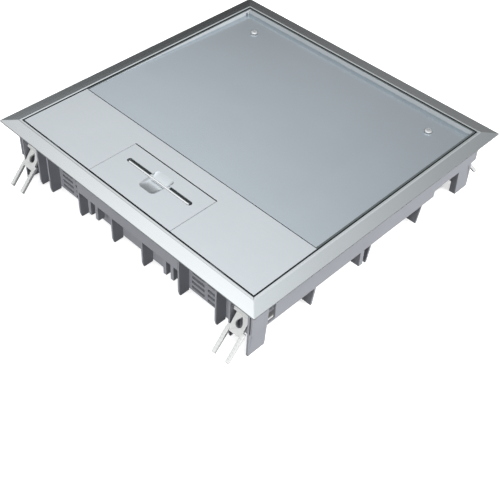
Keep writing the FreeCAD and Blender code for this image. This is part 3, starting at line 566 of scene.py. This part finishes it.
@dataclass(frozen=True)
class BrushedMetal(Finish):
    """Brushed metal: fine lines, cloudy tone and soft handling marks."""

    brushing: Brushing
    roughness: float
    line_strength: float = 0.05
    line_depth: float = 0.01 * MM
    gloss_change: float = 0.05
    tone_change: float = 0.035
    mark_share: float = 0.55
    worn_gleam: float = 1.03
    worn_dulling: float = 0.08

    def wire(self, nodes: MaterialNodes, worn: bool) -> None:
        """Wire a new material of this metal.

        Args:
            nodes: The material's nodes.
            worn: Whether it is rubbed, a little brighter and duller.
        """
        colour = shaded(self.colour, self.worn_gleam) if worn else self.colour
        roughness = self.roughness + (self.worn_dulling if worn else 0.0)
        lines = nodes.group(GroupName.BRUSH_LINES, nodes.stretched(self.brushing.value))
        marks = nodes.group(GroupName.HANDLING, nodes.place)
        tone = nodes.blended(self.mark_share, lines["Lines"], marks["Mask"])
        dark, light = (shaded(colour, 1 + side * self.tone_change) for side in (-1, 1))
        low = roughness - self.gloss_change / 2
        nodes.feed(nodes.shader, {
            "Base Color": nodes.tinted(tone, dark, light),
            "Roughness": nodes.ranged(lines["Streaks"], target=(low, low + self.gloss_change)),
            "Metallic": 1.0,
            "Normal": nodes.bump(lines["Lines"], self.line_strength, self.line_depth),
        })


@dataclass(frozen=True)
class MouldedPlastic(Finish):
    """Moulded plastic with a spark-eroded skin or, with little grain, a glossy one."""

    roughness: float
    grain: float = 0.25
    grain_scale: float = 2600.0
    tone_change: float = 0.07
    specular: float = 0.5
    grain_depth: float = 0.04 * MM
    gloss_range: tuple[float, float] = (-0.05, 0.07)
    scuffing: float = 0.35
    scuff_level: float = 0.8
    scuff_share: float = 0.22

    def wire(self, nodes: MaterialNodes, worn: bool) -> None:
        """Wire a new material of this plastic.

        Args:
            nodes: The material's nodes.
            worn: Whether it is scuffed pale in places.
        """
        skin = nodes.group(GroupName.SPARK_GRAIN, nodes.place, grain_scale=self.grain_scale)
        marks = nodes.group(GroupName.HANDLING, nodes.place)
        dark, light = (shaded(self.colour, 1 + side * self.tone_change) for side in (-1, 1))
        colour = nodes.tinted(skin["Tone"], dark, light)
        if worn:
            scuffs = nodes.group(GroupName.EDGE_WEAR, nodes.place, amount=self.scuffing)
            pale = (part + (self.scuff_level - part) * self.scuff_share for part in self.colour)
            colour = nodes.tinted(scuffs["Mask"], colour, tuple(pale))
        low, high = (self.roughness + change for change in self.gloss_range)
        nodes.feed(nodes.shader, {
            "Base Color": colour,
            "Roughness": nodes.ranged(marks["Mask"], target=(low, high)),
            "Specular IOR Level": self.specular,
            "Normal": nodes.bump(skin["Height"], self.grain, self.grain_depth),
        })


@dataclass(frozen=True)
class PlainMetal(Finish):
    """Plated or bare metal with a fine mottled skin."""

    roughness: float
    mottle_scale: float = 900.0
    mottle_dark: float = 0.88
    mottle_strength: float = 0.1
    mottle_depth: float = 0.02 * MM
    gloss_range: tuple[float, float] = (-0.08, 0.1)
    worn_gleam: float = 1.15

    def wire(self, nodes: MaterialNodes, worn: bool) -> None:
        """Wire a new material of this metal.

        Args:
            nodes: The material's nodes.
            worn: Whether it is rubbed brighter.
        """
        colour = shaded(self.colour, self.worn_gleam) if worn else self.colour
        skin = nodes.group(GroupName.SPARK_GRAIN, nodes.place, grain_scale=self.mottle_scale)
        low, high = (self.roughness + change for change in self.gloss_range)
        nodes.feed(nodes.shader, {
            "Base Color": nodes.tinted(skin["Tone"], shaded(colour, self.mottle_dark), colour),
            "Roughness": nodes.ranged(skin["Tone"], target=(low, high)),
            "Metallic": 1.0,
            "Normal": nodes.bump(skin["Height"], self.mottle_strength, self.mottle_depth),
        })


RIM_LONG = BrushedMetal("rim_brushed_along_x", (0.68, 0.7, 0.71), Brushing.ALONG_X, 0.18, 0.03)
RIM_SHORT = BrushedMetal("rim_brushed_along_y", (0.7, 0.735, 0.75), Brushing.ALONG_Y, 0.15, 0.03)
STRIP = BrushedMetal("strip_satin", (0.765, 0.805, 0.835), Brushing.SHORT_ALONG_X, 0.38)
PLATE = BrushedMetal("plate_satin", (0.6, 0.66, 0.71), Brushing.SHORT_ALONG_X, 0.24)
BAR_METAL = BrushedMetal("bar_polished", (0.93, 0.94, 0.95), Brushing.ALONG_X, 0.2)
TRAY_WALL = MouldedPlastic("tray_wall_grey", (0.44, 0.465, 0.48), 0.4, grain=0.1)
FRAME_PLASTIC = MouldedPlastic("frame_grey_plastic", (0.29, 0.297, 0.325), 0.52)
LID_PLASTIC = MouldedPlastic("lid_grey_plastic", (0.085, 0.098, 0.1), 0.55, specular=0.3)
CUP_PLASTIC = MouldedPlastic("cup_dark_plastic", (0.045, 0.047, 0.052), 0.5)
CLAW_PLASTIC = MouldedPlastic("claw_white_plastic", (0.64, 0.645, 0.64), 0.35, 0.05, 900.0, 0.03)
SOCKET_PLASTIC = MouldedPlastic("socket_white_plastic", (0.8, 0.8, 0.77), 0.25, 0.04, 900.0, 0.02)
INSERT_PLASTIC = MouldedPlastic("insert_grey_plastic", (0.6, 0.61, 0.61), 0.35, 0.1, 1800.0, 0.03)
RUBBER = MouldedPlastic("black_rubber", (0.02, 0.02, 0.021), 0.75, 0.4, 1500.0, 0.2, 0.3)
STEEL = PlainMetal("plated_steel", (0.62, 0.63, 0.64), 0.32)
SCREW_STEEL = PlainMetal("screw_steel", (0.9, 0.91, 0.92), 0.3)
BRASS = PlainMetal("bare_brass", (0.72, 0.52, 0.2), 0.28)


# Sub-assemblies


@dataclass
class SubAssembly:
    """Pieces of one body that are built and dressed together."""

    body: str = "root"
    edge: float = 0.25 * MM

    def place(self, piece: Piece, finish: Finish, *nodes: str) -> Piece:
        """Dress a piece, let it ride on the body and stand for its CAD nodes.

        Args:
            piece: The finished mesh.
            finish: Its finish.
            *nodes: CAD nodes that it stands for.

        Returns:
            The same piece.
        """
        rounded = len(piece.data.materials) > 1
        piece.data.materials.clear()
        piece.data.materials.append(finish.material())
        if rounded:
            piece.data.materials.append(finish.material(worn=True))
        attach(piece, self.body)
        if nodes:
            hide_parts(*nodes)
        LOG.info("%s on %s: %d faces", piece.name, self.body, len(piece.data.polygons))
        return piece

    def carry(
        self, node: str, finish: Finish, edge: float | None = None, segments: int = 2,
    ) -> Piece:
        """Make a piece from a CAD node, with rounded edges and a finish.

        Args:
            node: Name of the CAD node.
            finish: The piece's finish.
            edge: Width of the rounding, or the sub-assembly's own.
            segments: Steps across the rounding.

        Returns:
            The piece.
        """
        piece = merged_copy(node, f"{node}_dressed")
        round_edges(piece, edge or self.edge, segments)
        return self.place(piece, finish, node)

    def keep(self, finish: Finish, *nodes: str) -> None:
        """Give CAD nodes that stay as they are their finish.

        Args:
            finish: The nodes' finish.
            *nodes: Names of the CAD nodes.
        """
        for node in nodes:
            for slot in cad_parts[node].material_slots:
                slot.material = finish.material()
            LOG.info("%s kept", node)


@dataclass(frozen=True)
class PanScrew:
    """A small screw with a domed pan head and a cross in it, seated on a face."""

    radius: float
    height: float
    cross_length: float
    cross_width: float
    cross_depth: float
    sides: int
    dome_share: float = 0.8
    dome_steps: int = 5

    def model(self, name: str) -> Piece:
        """Model the head once, upright, with its seat at the origin.

        Args:
            name: Name of the piece.

        Returns:
            The head.
        """
        head = add_cylinder(name, self.radius, self.height, self.sides)

        def on_top(edge: bmesh.types.BMEdge) -> bool:
            """Whether an edge runs round the head's top."""
            return all(point.co.z > self.height - NEAR for point in edge.verts)

        soften(head, on_top, self.height * self.dome_share, self.dome_steps)
        top = UP * self.height
        arms = ((self.cross_length, self.cross_width), (self.cross_width, self.cross_length))
        for size_x, size_y in arms:
            half = Vector((size_x / 2, size_y / 2, self.cross_depth))
            combine(head, Joining.CUT, add_block("cross_cutter", top - half, top + half))
        smooth(head)
        return head

    def seated(self, name: str, seats: Iterable[Seat]) -> Piece:
        """Copy the head to several seats and join the copies.

        Args:
            name: Name of the joined piece.
            seats: Middle of each seat and the direction that its head points in.

        Returns:
            One piece with all the heads.
        """
        pattern = self.model(name)
        copies = []
        for place, direction in seats:
            copy = pattern.copy()
            copy.data = pattern.data.copy()
            bpy.context.scene.collection.objects.link(copy)
            turn = direction.to_track_quat("Z", "Y").to_matrix().to_4x4()
            copy.matrix_world = Matrix.Translation(place) @ turn
            copies.append(copy)
        bpy.data.objects.remove(pattern)
        pick(*copies)
        bpy.ops.object.transform_apply(location=True, rotation=True, scale=True)
        bpy.ops.object.join()
        joined = bpy.context.object
        joined.name = name
        joined.data.name = name
        return joined


@dataclass
class RimTrim(SubAssembly):
    """The four mitred lengths of the metal rim."""

    edge: float = 0.3 * MM
    lengths: tuple[tuple[str, Finish], ...] = (
        ("rim_trim_front", RIM_LONG),
        ("rim_trim_back", RIM_LONG),
        ("rim_trim_right", RIM_SHORT),
        ("rim_trim_left", RIM_SHORT),
    )

    def build(self) -> None:
        """Make and dress the four lengths."""
        for node, finish in self.lengths:
            self.carry(node, finish)


@dataclass
class MouldedFrame(SubAssembly):
    """The four moulded sides, their brackets, pads, clips and pins."""

    sides: tuple[str, ...] = ("frame_front", "frame_back", "frame_right", "frame_left")
    pad_edge: float = 0.6 * MM
    bracket_edge: float = 0.2 * MM
    clip_edge: float = 0.1 * MM
    bracket_screw: PanScrew = PanScrew(2.6 * MM, 1.3 * MM, 3.0 * MM, 0.7 * MM, 0.6 * MM, 20)
    bracket_thickness: float = 1.5 * MM
    bracket_leg: float = 20.0 * MM
    screw_from_end: float = 7.0 * MM

    def build(self) -> None:
        """Make the sides and dress what they carry."""
        for node in self.sides:
            self.carry(node, FRAME_PLASTIC)
        self.bracket_screws()
        self.carry("lid_buffers", RUBBER, self.pad_edge)
        self.carry("corner_brackets", STEEL, self.bracket_edge)
        self.carry("latch_clips", STEEL, self.clip_edge, segments=1)
        self.keep(STEEL, "hinge_pins", "claw_pins")

    def bracket_screws(self) -> None:
        """Two pan-head screws through each corner bracket."""
        low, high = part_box("corner_brackets")
        face = high.x - self.bracket_thickness
        along = high.x - self.bracket_leg + self.screw_from_end
        middle = (low.z + high.z) / 2
        seats = []
        for side_x in (-1, 1):
            for side_y in (-1, 1):
                on_side = Vector((side_x * face, side_y * along, middle))
                on_end = Vector((side_x * along, side_y * face, middle))
                seats.append((on_side, Vector((-side_x, 0.0, 0.0))))
                seats.append((on_end, Vector((0.0, -side_y, 0.0))))
        self.place(self.bracket_screw.seated("bracket_screws", seats), SCREW_STEEL)


@dataclass
class SnapClaw(SubAssembly):
    """One white snap claw."""

    edge: float = 0.35 * MM

    def build(self) -> None:
        """Make and dress the claw."""
        self.carry(self.body, CLAW_PLASTIC)


@dataclass
class Devices(SubAssembly):
    """Cups, carriers, socket and data inserts under the lid."""

    bays: tuple[str, ...] = ("left", "middle", "right")
    socket_bays: tuple[str, ...] = ("left", "right")
    sockets_per_bay: int = 3
    cup_edge: float = 0.3 * MM
    carrier_edge: float = 0.2 * MM
    insert_edge: float = 0.35 * MM
    earth_clip_edge: float = 0.15 * MM
    clamp_edge: float = 0.4 * MM
    clamp_screw: PanScrew = PanScrew(2.8 * MM, 1.4 * MM, 3.2 * MM, 0.7 * MM, 0.7 * MM, 20)
    clamp_screw_from_end: float = 4.0 * MM
    clamp_shift: float = 14.0 * MM

    def build(self) -> None:
        """Make and dress the cups and everything in them."""
        for bay in self.bays:
            self.carry(f"cup_{bay}", CUP_PLASTIC, self.cup_edge)
            self.carry(f"carrier_{bay}", CUP_PLASTIC, self.carrier_edge)
        for bay in self.socket_bays:
            for number in range(1, self.sockets_per_bay + 1):
                self.carry(f"power_socket_{bay}_{number}", SOCKET_PLASTIC, self.insert_edge)
            self.carry(f"earth_clips_{bay}", STEEL, self.earth_clip_edge, segments=1)
            self.keep(BRASS, f"power_contacts_{bay}")
        for node in ("data_module_front", "data_module_back", "blank_plates"):
            self.carry(node, INSERT_PLASTIC, self.insert_edge)
        self.carry("cable_grommets", RUBBER, self.cup_edge)
        self.carry("cable_clamps", CUP_PLASTIC, self.clamp_edge)
        self.clamp_screws()

    def clamp_screws(self) -> None:
        """Two pan-head screws on each strain relief bar."""
        low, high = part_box("cable_clamps")
        seats = []
        for bay in self.bays:
            bay_low, bay_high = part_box(f"cup_{bay}")
            x = (bay_low.x + bay_high.x) / 2 + self.clamp_shift
            for y in (low.y + self.clamp_screw_from_end, high.y - self.clamp_screw_from_end):
                seats.append((Vector((x, y, high.z)), UP))
        self.place(self.clamp_screw.seated("clamp_screws", seats), SCREW_STEEL)


@dataclass
class Lid(SubAssembly):
    """Tray, strip, inlay plate, screws and stiffening bars."""

    body: str = "lid"
    tray_edge: float = 0.15 * MM
    wall_inset: float = 4.0 * MM
    strip_edge: float = 0.12 * MM
    opening_reach: float = 3.0 * MM
    rolled_edge: float = 0.6 * MM
    rolled_steps: int = 4
    plate_edge: float = 0.2 * MM
    plate_gap: float = 0.55 * MM
    plate_thickness: float = 1.5 * MM
    plate_reach: float = 0.27 * MM
    stiffener_edge: float = 0.3 * MM
    screw: PanScrew = PanScrew(4.1 * MM, 1.9 * MM, 4.4 * MM, 0.9 * MM, 0.9 * MM, 40)
    screw_lift: float = 0.9 * MM

    def build(self) -> None:
        """Make and dress the lid's pieces."""
        self.tray()
        self.strip()
        self.plate()
        self.carry("lid_stiffeners", STEEL, self.stiffener_edge)
        self.keep(STEEL, "flap_pin")
        self.plate_screws()

    def tray(self) -> None:
        """The tray; the walls round its recess are as light as the plate."""
        tray = self.carry("lid_tray", LID_PLASTIC, self.tray_edge)
        low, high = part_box("inlay_plate")
        tray.data.materials.append(TRAY_WALL.material())
        wall_slot = len(tray.data.materials) - 1
        for face in tray.data.polygons:
            middle = face.center
            upright = abs(face.normal.z) < UPRIGHT
            inward = face.normal.xy.dot(middle.xy) < 0.0
            at_side = abs(middle.x) > high.x - self.wall_inset
            at_rear = middle.y > high.y - self.wall_inset
            if upright and inward and middle.z > low.z and (at_side or at_rear):
                face.material_index = wall_slot

    def strip(self) -> None:
        """The metal strip; the rear edge of its opening for the flap is rolled over."""
        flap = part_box("flap_plate")[1]
        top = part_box("front_strip")[1].z
        strip = merged_copy("front_strip", "front_strip_dressed", whole_faces=True)

        def is_rolled(edge: bmesh.types.BMEdge) -> bool:
            """Whether an edge is the upper rear edge of the opening."""
            level = all(point.co.z > top - NEAR for point in edge.verts)
            behind = all(0.0 < point.co.y - flap.y < self.opening_reach for point in edge.verts)
            return level and behind and edge.calc_length() > flap.x

        soften(strip, is_rolled, self.rolled_edge, self.rolled_steps)
        round_edges(strip, self.strip_edge)
        self.place(strip, STRIP, "front_strip")

    def plate(self) -> None:
        """The inlay plate, lower towards the hinge, with a fine joint to the strip before it."""
        low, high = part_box("inlay_plate")
        reach = Vector((self.plate_reach, self.plate_reach, 0.0))
        front = Vector((low.x - reach.x, low.y + self.plate_gap, high.z - self.plate_thickness))
        plate = add_block("inlay_plate_dressed", front, high + reach)
        middle = (low.y + high.y) / 2
        push(plate, lambda point: point.co.y > middle, (0.0, 0.0, low.z - front.z))
        round_edges(plate, self.plate_edge)
        self.place(plate, PLATE, "inlay_plate")

    def plate_screws(self) -> None:
        """Two domed screws with a cross recess that hold the plate down."""
        low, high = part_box("plate_screws")
        radius = (high.y - low.y) / 2
        x, y, z = high.x - radius, high.y - radius, high.z - self.screw_lift
        seats = [(Vector((side * x, y, z)), UP) for side in (-1, 1)]
        self.place(self.screw.seated("plate_screws_dressed", seats), SCREW_STEEL, "plate_screws")


@dataclass
class OutletFlap(SubAssembly):
    """Metal face with its pressed scoop and slot, moulding and seal."""

    body: str = "outlet_flap"
    seal_edge: float = 0.6 * MM
    sheet: float = 1.2 * MM
    sheet_edge: float = 0.1 * MM
    wider: float = 0.2 * MM
    longer: float = 0.1 * MM
    scoop_half: float = 11.2 * MM
    scoop_front: float = -128.2 * MM
    scoop_rear: float = -103.2 * MM
    scoop_depth: float = 2.4 * MM
    nose_taper: float = 1.8 * MM
    corner_round: float = 4.0 * MM
    corner_steps: int = 6
    side_run: float = 2.8 * MM
    end_run: float = 11.0 * MM
    bowl_steps: int = 8
    bowl_power: float = 1.5
    lip_round: float = 0.5 * MM
    lip_steps: int = 3
    least_crease: float = 0.05
    boss_wall: float = 1.0 * MM
    boss_rear_wall: float = 0.8 * MM
    boss_overlap: float = 0.1 * MM
    slot_half: float = 40.6 * MM
    slot_front: float = -114.8 * MM
    slot_rear: float = -109.8 * MM
    slot_round: float = 0.49
    slot_steps: int = 8
    cutter_margin: float = 1.0 * MM

    def build(self) -> None:
        """Make and dress the flap's pieces."""
        self.face()
        self.carry("flap_body", LID_PLASTIC)
        self.carry("flap_seal", RUBBER, self.seal_edge)

    def scoop_space(self, top: float) -> Piece:
        """Model the hollow of the scoop: a rounded outline that narrows in steps to its floor.

        Args:
            top: Height of the metal face.

        Returns:
            The hollow as a solid to cut with.
        """
        low = Vector((-self.scoop_half, self.scoop_front, top))
        high = Vector((self.scoop_half, self.scoop_rear, top + self.cutter_margin))
        space = add_block("scoop_space", low, high)
        middle = (self.scoop_front + self.scoop_rear) / 2
        for side in (1, -1):
            push(
                space, lambda point: point.co.y < middle and point.co.x * side > 0,
                (-side * self.nose_taper, 0.0, 0.0),
            )
        soften(space, is_upright, self.corner_round, self.corner_steps)
        edit_some(space, Element.FACE, lambda face: face.normal.z < DOWNWARD)
        whole = length = self.scoop_rear - self.scoop_front
        inset = self.side_run / self.bowl_steps
        depth = 0.0
        for step in range(1, self.bowl_steps + 1):
            share = step / self.bowl_steps
            lower = self.scoop_depth * (1 - (1 - share) ** self.bowl_power)
            bpy.ops.mesh.inset(thickness=inset, depth=lower - depth)
            shorter = whole - 2 * self.end_run * share
            factor = shorter / (length - 2 * inset)
            bpy.ops.transform.resize(
                value=(1.0, factor, 1.0), center_override=(0.0, middle, 0.0),
            )
            length, depth = shorter, lower
        stop_editing()
        return space

    def slot_space(self, top: float) -> Piece:
        """Model the hollow of the long slot with its round ends.

        Args:
            top: Height of the metal face.

        Returns:
            The hollow as a solid to cut with.
        """
        margin = self.cutter_margin
        low = Vector((-self.slot_half, self.slot_front, top - self.sheet - margin))
        high = Vector((self.slot_half, self.slot_rear, top + margin))
        space = add_block("slot_space", low, high)
        radius = (self.slot_rear - self.slot_front) * self.slot_round
        soften(space, is_upright, radius, self.slot_steps)
        return space

    def face(self) -> None:
        """The metal face: a sheet with a soft scoop pressed into it and the slot for the bail."""
        low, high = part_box("flap_plate")
        sheet_low = Vector((low.x - self.wider, low.y, high.z - self.sheet))
        sheet_high = Vector((high.x + self.wider, high.y + self.longer, high.z))
        face = add_block("flap_plate_dressed", sheet_low, sheet_high)
        boss_half = self.scoop_half + self.boss_wall
        boss_low = Vector((-boss_half, self.scoop_front - self.boss_wall, low.z))
        boss_rear = self.scoop_rear + self.boss_rear_wall
        boss_high = Vector((boss_half, boss_rear, sheet_low.z + self.boss_overlap))
        combine(face, Joining.CUT, self.slot_space(high.z))
        combine(face, Joining.JOIN, add_block("scoop_boss", boss_low, boss_high))
        combine(face, Joining.CUT, self.scoop_space(high.z))

        def is_lip(edge: bmesh.types.BMEdge) -> bool:
            """Whether an edge is part of the scoop's lip."""
            return edge.calc_face_angle(0.0) > self.least_crease and all(
                point.co.z > high.z - NEAR
                and abs(point.co.x) < self.scoop_half + NEAR
                and self.scoop_front - NEAR < point.co.y < self.scoop_rear + NEAR
                for point in edge.verts
            )

        soften(face, is_lip, self.lip_round, self.lip_steps)
        round_edges(face, self.sheet_edge)
        self.place(face, STRIP, "flap_plate")


@dataclass
class PullBar(SubAssembly):
    """Flat bail that lifts out of the flap."""

    body: str = "pull_bar"
    edge: float = 0.6 * MM

    def build(self) -> None:
        """Make and dress the bail."""
        self.carry("pull_bar", BAR_METAL, segments=3)


# Studio


@dataclass(frozen=True)
class SoftLamp:
    """A square lamp that points at the box and shows in no reflection."""

    name: str
    place: tuple[float, float, float]
    size: float
    watts: float

    def hang(self) -> None:
        """Add the lamp to the scene."""
        data = bpy.data.lights.new(self.name, "AREA")
        data.size = self.size
        data.energy = self.watts
        lamp = bpy.data.objects.new(self.name, data)
        lamp.location = self.place
        lamp.visible_glossy = False
        lamp.rotation_euler = (-Vector(self.place)).to_track_quat("-Z", "Y").to_euler()
        bpy.context.scene.collection.objects.link(lamp)


@dataclass
class Studio:
    """Pale floor, soft light and a camera at the photograph's viewing angle.

    The camera's place and aim are in units of half the rim's side. A sky table gives levels
    at positions from 0 to 1: heights run from the horizon to overhead, and sides run from
    the dark side to the bright one.
    """

    floor_size: float = 60.0
    floor_white: float = 0.95
    floor_grey: float = 0.25
    floor_glow: float = 0.6
    floor_roughness: float = 0.9
    # Half side and edge blur of the square below the box where the camera sees the floor grey: a
    # painted shadow.
    painted_shadow: float = 0.131
    painted_shadow_blur: float = 0.003
    bright_side: float = math.radians(147.0)
    sky_strength: float = 1.47
    sky_tint: Colour = (0.985, 0.995, 1.0)
    sky_heights: tuple[tuple[float, float], ...] = (
        (0.0, 0.5), (0.53, 0.55), (0.6, 0.6), (0.67, 0.65), (0.74, 0.83), (0.85, 1.05),
    )
    sky_sides: tuple[tuple[float, float], ...] = (
        (0.0, 0.9), (0.6, 0.9), (0.8, 0.52), (0.866, 0.39), (0.933, 0.6), (0.98, 0.82), (1.0, 1.0),
    )
    low_sides: tuple[tuple[float, float], ...] = (
        (0.0, 0.14), (0.75, 0.16), (0.9, 0.16), (0.95, 0.13), (0.985, 0.04), (1.0, 0.03),
    )
    low_ends: tuple[float, float] = (0.42, 0.53)
    lamps: tuple[SoftLamp, ...] = (
        SoftLamp("front_lamp", (0.25, -2.3, 0.95), 1.0, 35.0),
        SoftLamp("right_lamp", (2.25, 0.4, 0.9), 1.1, 60.0),
    )
    rim_half: float = 0.162
    rim_level: float = 0.065
    azimuth: float = math.radians(42.5516)
    elevation: float = math.radians(42.3572)
    roll: float = math.radians(3.0299)
    distance: float = 4.7826
    aim: tuple[float, float] = (0.41994, -0.43464)
    focal_pixels: float = 924.061
    centre_pixel: tuple[float, float] = (250.374, 200.0)
    image_size: float = 500.0
    sensor: float = 36.0
    nearest: float = 0.01

    def build(self) -> None:
        """Set the stage, the light and the camera."""
        self.floor()
        self.sky()
        for lamp in self.lamps:
            lamp.hang()
        self.camera()

    def floor(self) -> None:
        """Floor that the camera sees white round the box and grey below it, a painted shadow; to
        light the box it is grey everywhere.
        """
        pick_nothing()
        bpy.ops.mesh.primitive_plane_add(size=self.floor_size)
        floor = take_new("studio_floor")
        nodes = MaterialNodes("floor_paper")
        away = nodes.add("SeparateXYZ", {0: nodes.vector_math("ABSOLUTE", nodes.place)[0]})
        farther = nodes.math("MAXIMUM", away["X"], away["Y"])
        # Inside the square the camera sees the floor grey and without glow: a painted shadow under
        # the box.
        ends = (self.painted_shadow, self.painted_shadow + self.painted_shadow_blur)
        outside_shadow = nodes.ranged(farther, source=ends, interpolation="SMOOTHSTEP")
        bright = nodes.math("MULTIPLY", nodes.add("LightPath")["Is Camera Ray"], outside_shadow)
        nodes.feed(nodes.shader, {
            "Base Color": nodes.tinted(bright, grey(self.floor_grey), grey(self.floor_white)),
            "Roughness": self.floor_roughness,
            "Specular IOR Level": 0.0,
            "Emission Color": nodes.tinted(bright, grey(0.0), grey(self.floor_glow)),
            "Emission Strength": 1.0,
        })
        floor.data.materials.append(nodes.material)

    def sky(self) -> None:
        """Soft box of light: bright overhead, darker low down and to one side."""
        world = bpy.data.worlds.new("soft_box")
        bpy.context.scene.world = world
        world.use_nodes = True
        graph = Graph(world.node_tree)
        direction = graph.add("TexCoord")["Generated"]
        height = graph.add("SeparateXYZ", {0: direction})["Z"]
        level = graph.vector_math("MULTIPLY", direction, (1.0, 1.0, 0.0))[0]
        unit = graph.vector_math("NORMALIZE", level)[0]
        bright = (math.cos(self.bright_side), math.sin(self.bright_side), 0.0)
        toward = graph.vector_math("DOT_PRODUCT", unit, bright)["Value"]
        side = graph.ranged(toward, source=(-1.0, 1.0))
        overhead = self.ramp(graph, height, self.sky_heights)
        around = self.ramp(graph, side, self.sky_sides)
        upper = graph.mixed(1.0, overhead, around, "MULTIPLY")
        rise = graph.ranged(height, source=self.low_ends, interpolation="SMOOTHSTEP")
        whole = graph.mixed(rise, self.ramp(graph, side, self.low_sides), upper)
        background = world.node_tree.nodes["Background"].inputs
        graph.feed(background, {"Color": whole, "Strength": self.sky_strength})

    def ramp(
        self, graph: Graph, position: Socket, levels: tuple[tuple[float, float], ...],
    ) -> Socket:
        """Turn a position into a slightly cool grey.

        Args:
            graph: Node tree to add the ramp to.
            position: Where on the ramp to read.
            levels: Position and level of each stop.

        Returns:
            The grey.
        """
        colour = graph.add("ValToRGB", {"Fac": position})["Color"]
        elements = colour.node.color_ramp.elements
        while len(elements) < len(levels):
            elements.new(position=0.5)
        for element, (place, level) in zip(elements, levels):
            element.position = place
            element.color = (*(level * part for part in self.sky_tint), 1.0)
        return colour

    def camera(self) -> None:
        """Camera with the photograph's place, lens and shift."""
        back = Vector((
            math.sin(self.azimuth) * math.cos(self.elevation),
            -math.cos(self.azimuth) * math.cos(self.elevation),
            math.sin(self.elevation),
        ))
        right = Vector((math.cos(self.azimuth), math.sin(self.azimuth), 0.0))
        up = back.cross(right)
        turned_right = right * math.cos(self.roll) + up * math.sin(self.roll)
        turned_up = up * math.cos(self.roll) - right * math.sin(self.roll)
        place = (Vector((*self.aim, 0.0)) + back * self.distance) * self.rim_half
        place.z += self.rim_level
        data = bpy.data.cameras.new("camera")
        data.sensor_width = self.sensor
        data.lens = self.focal_pixels / self.image_size * self.sensor
        data.shift_x = -(self.centre_pixel[0] - self.image_size / 2) / self.image_size
        data.shift_y = (self.centre_pixel[1] - self.image_size / 2) / self.image_size
        data.clip_start = self.nearest
        camera = bpy.data.objects.new("camera", data)
        turn = Matrix((turned_right, turned_up, back)).transposed()
        camera.matrix_world = Matrix.Translation(place) @ turn.to_4x4()
        bpy.context.scene.collection.objects.link(camera)
        bpy.context.scene.camera = camera


def write_sizes() -> None:
    """Update the view layer."""
    bpy.context.view_layer.update()


def main() -> None:
    """Build the shader groups, the sub-assemblies in order, and then the studio."""
    logging.basicConfig(level=logging.INFO, format="%(message)s")
    build_brush_lines()
    build_spark_grain()
    build_handling_marks()
    build_edge_wear()
    claws = ("claw_front_right", "claw_front_left", "claw_back_right", "claw_back_left")
    assemblies = [RimTrim(), MouldedFrame(), Devices(), Lid(), OutletFlap(), PullBar()]
    assemblies += [SnapClaw(body=name) for name in claws]
    for assembly in assemblies:
        LOG.info("building %s", type(assembly).__name__)
        assembly.build()
    Studio().build()
    bpy.context.scene.view_settings.view_transform = "Standard"
    write_sizes()


if __name__ == "__main__":
    main()
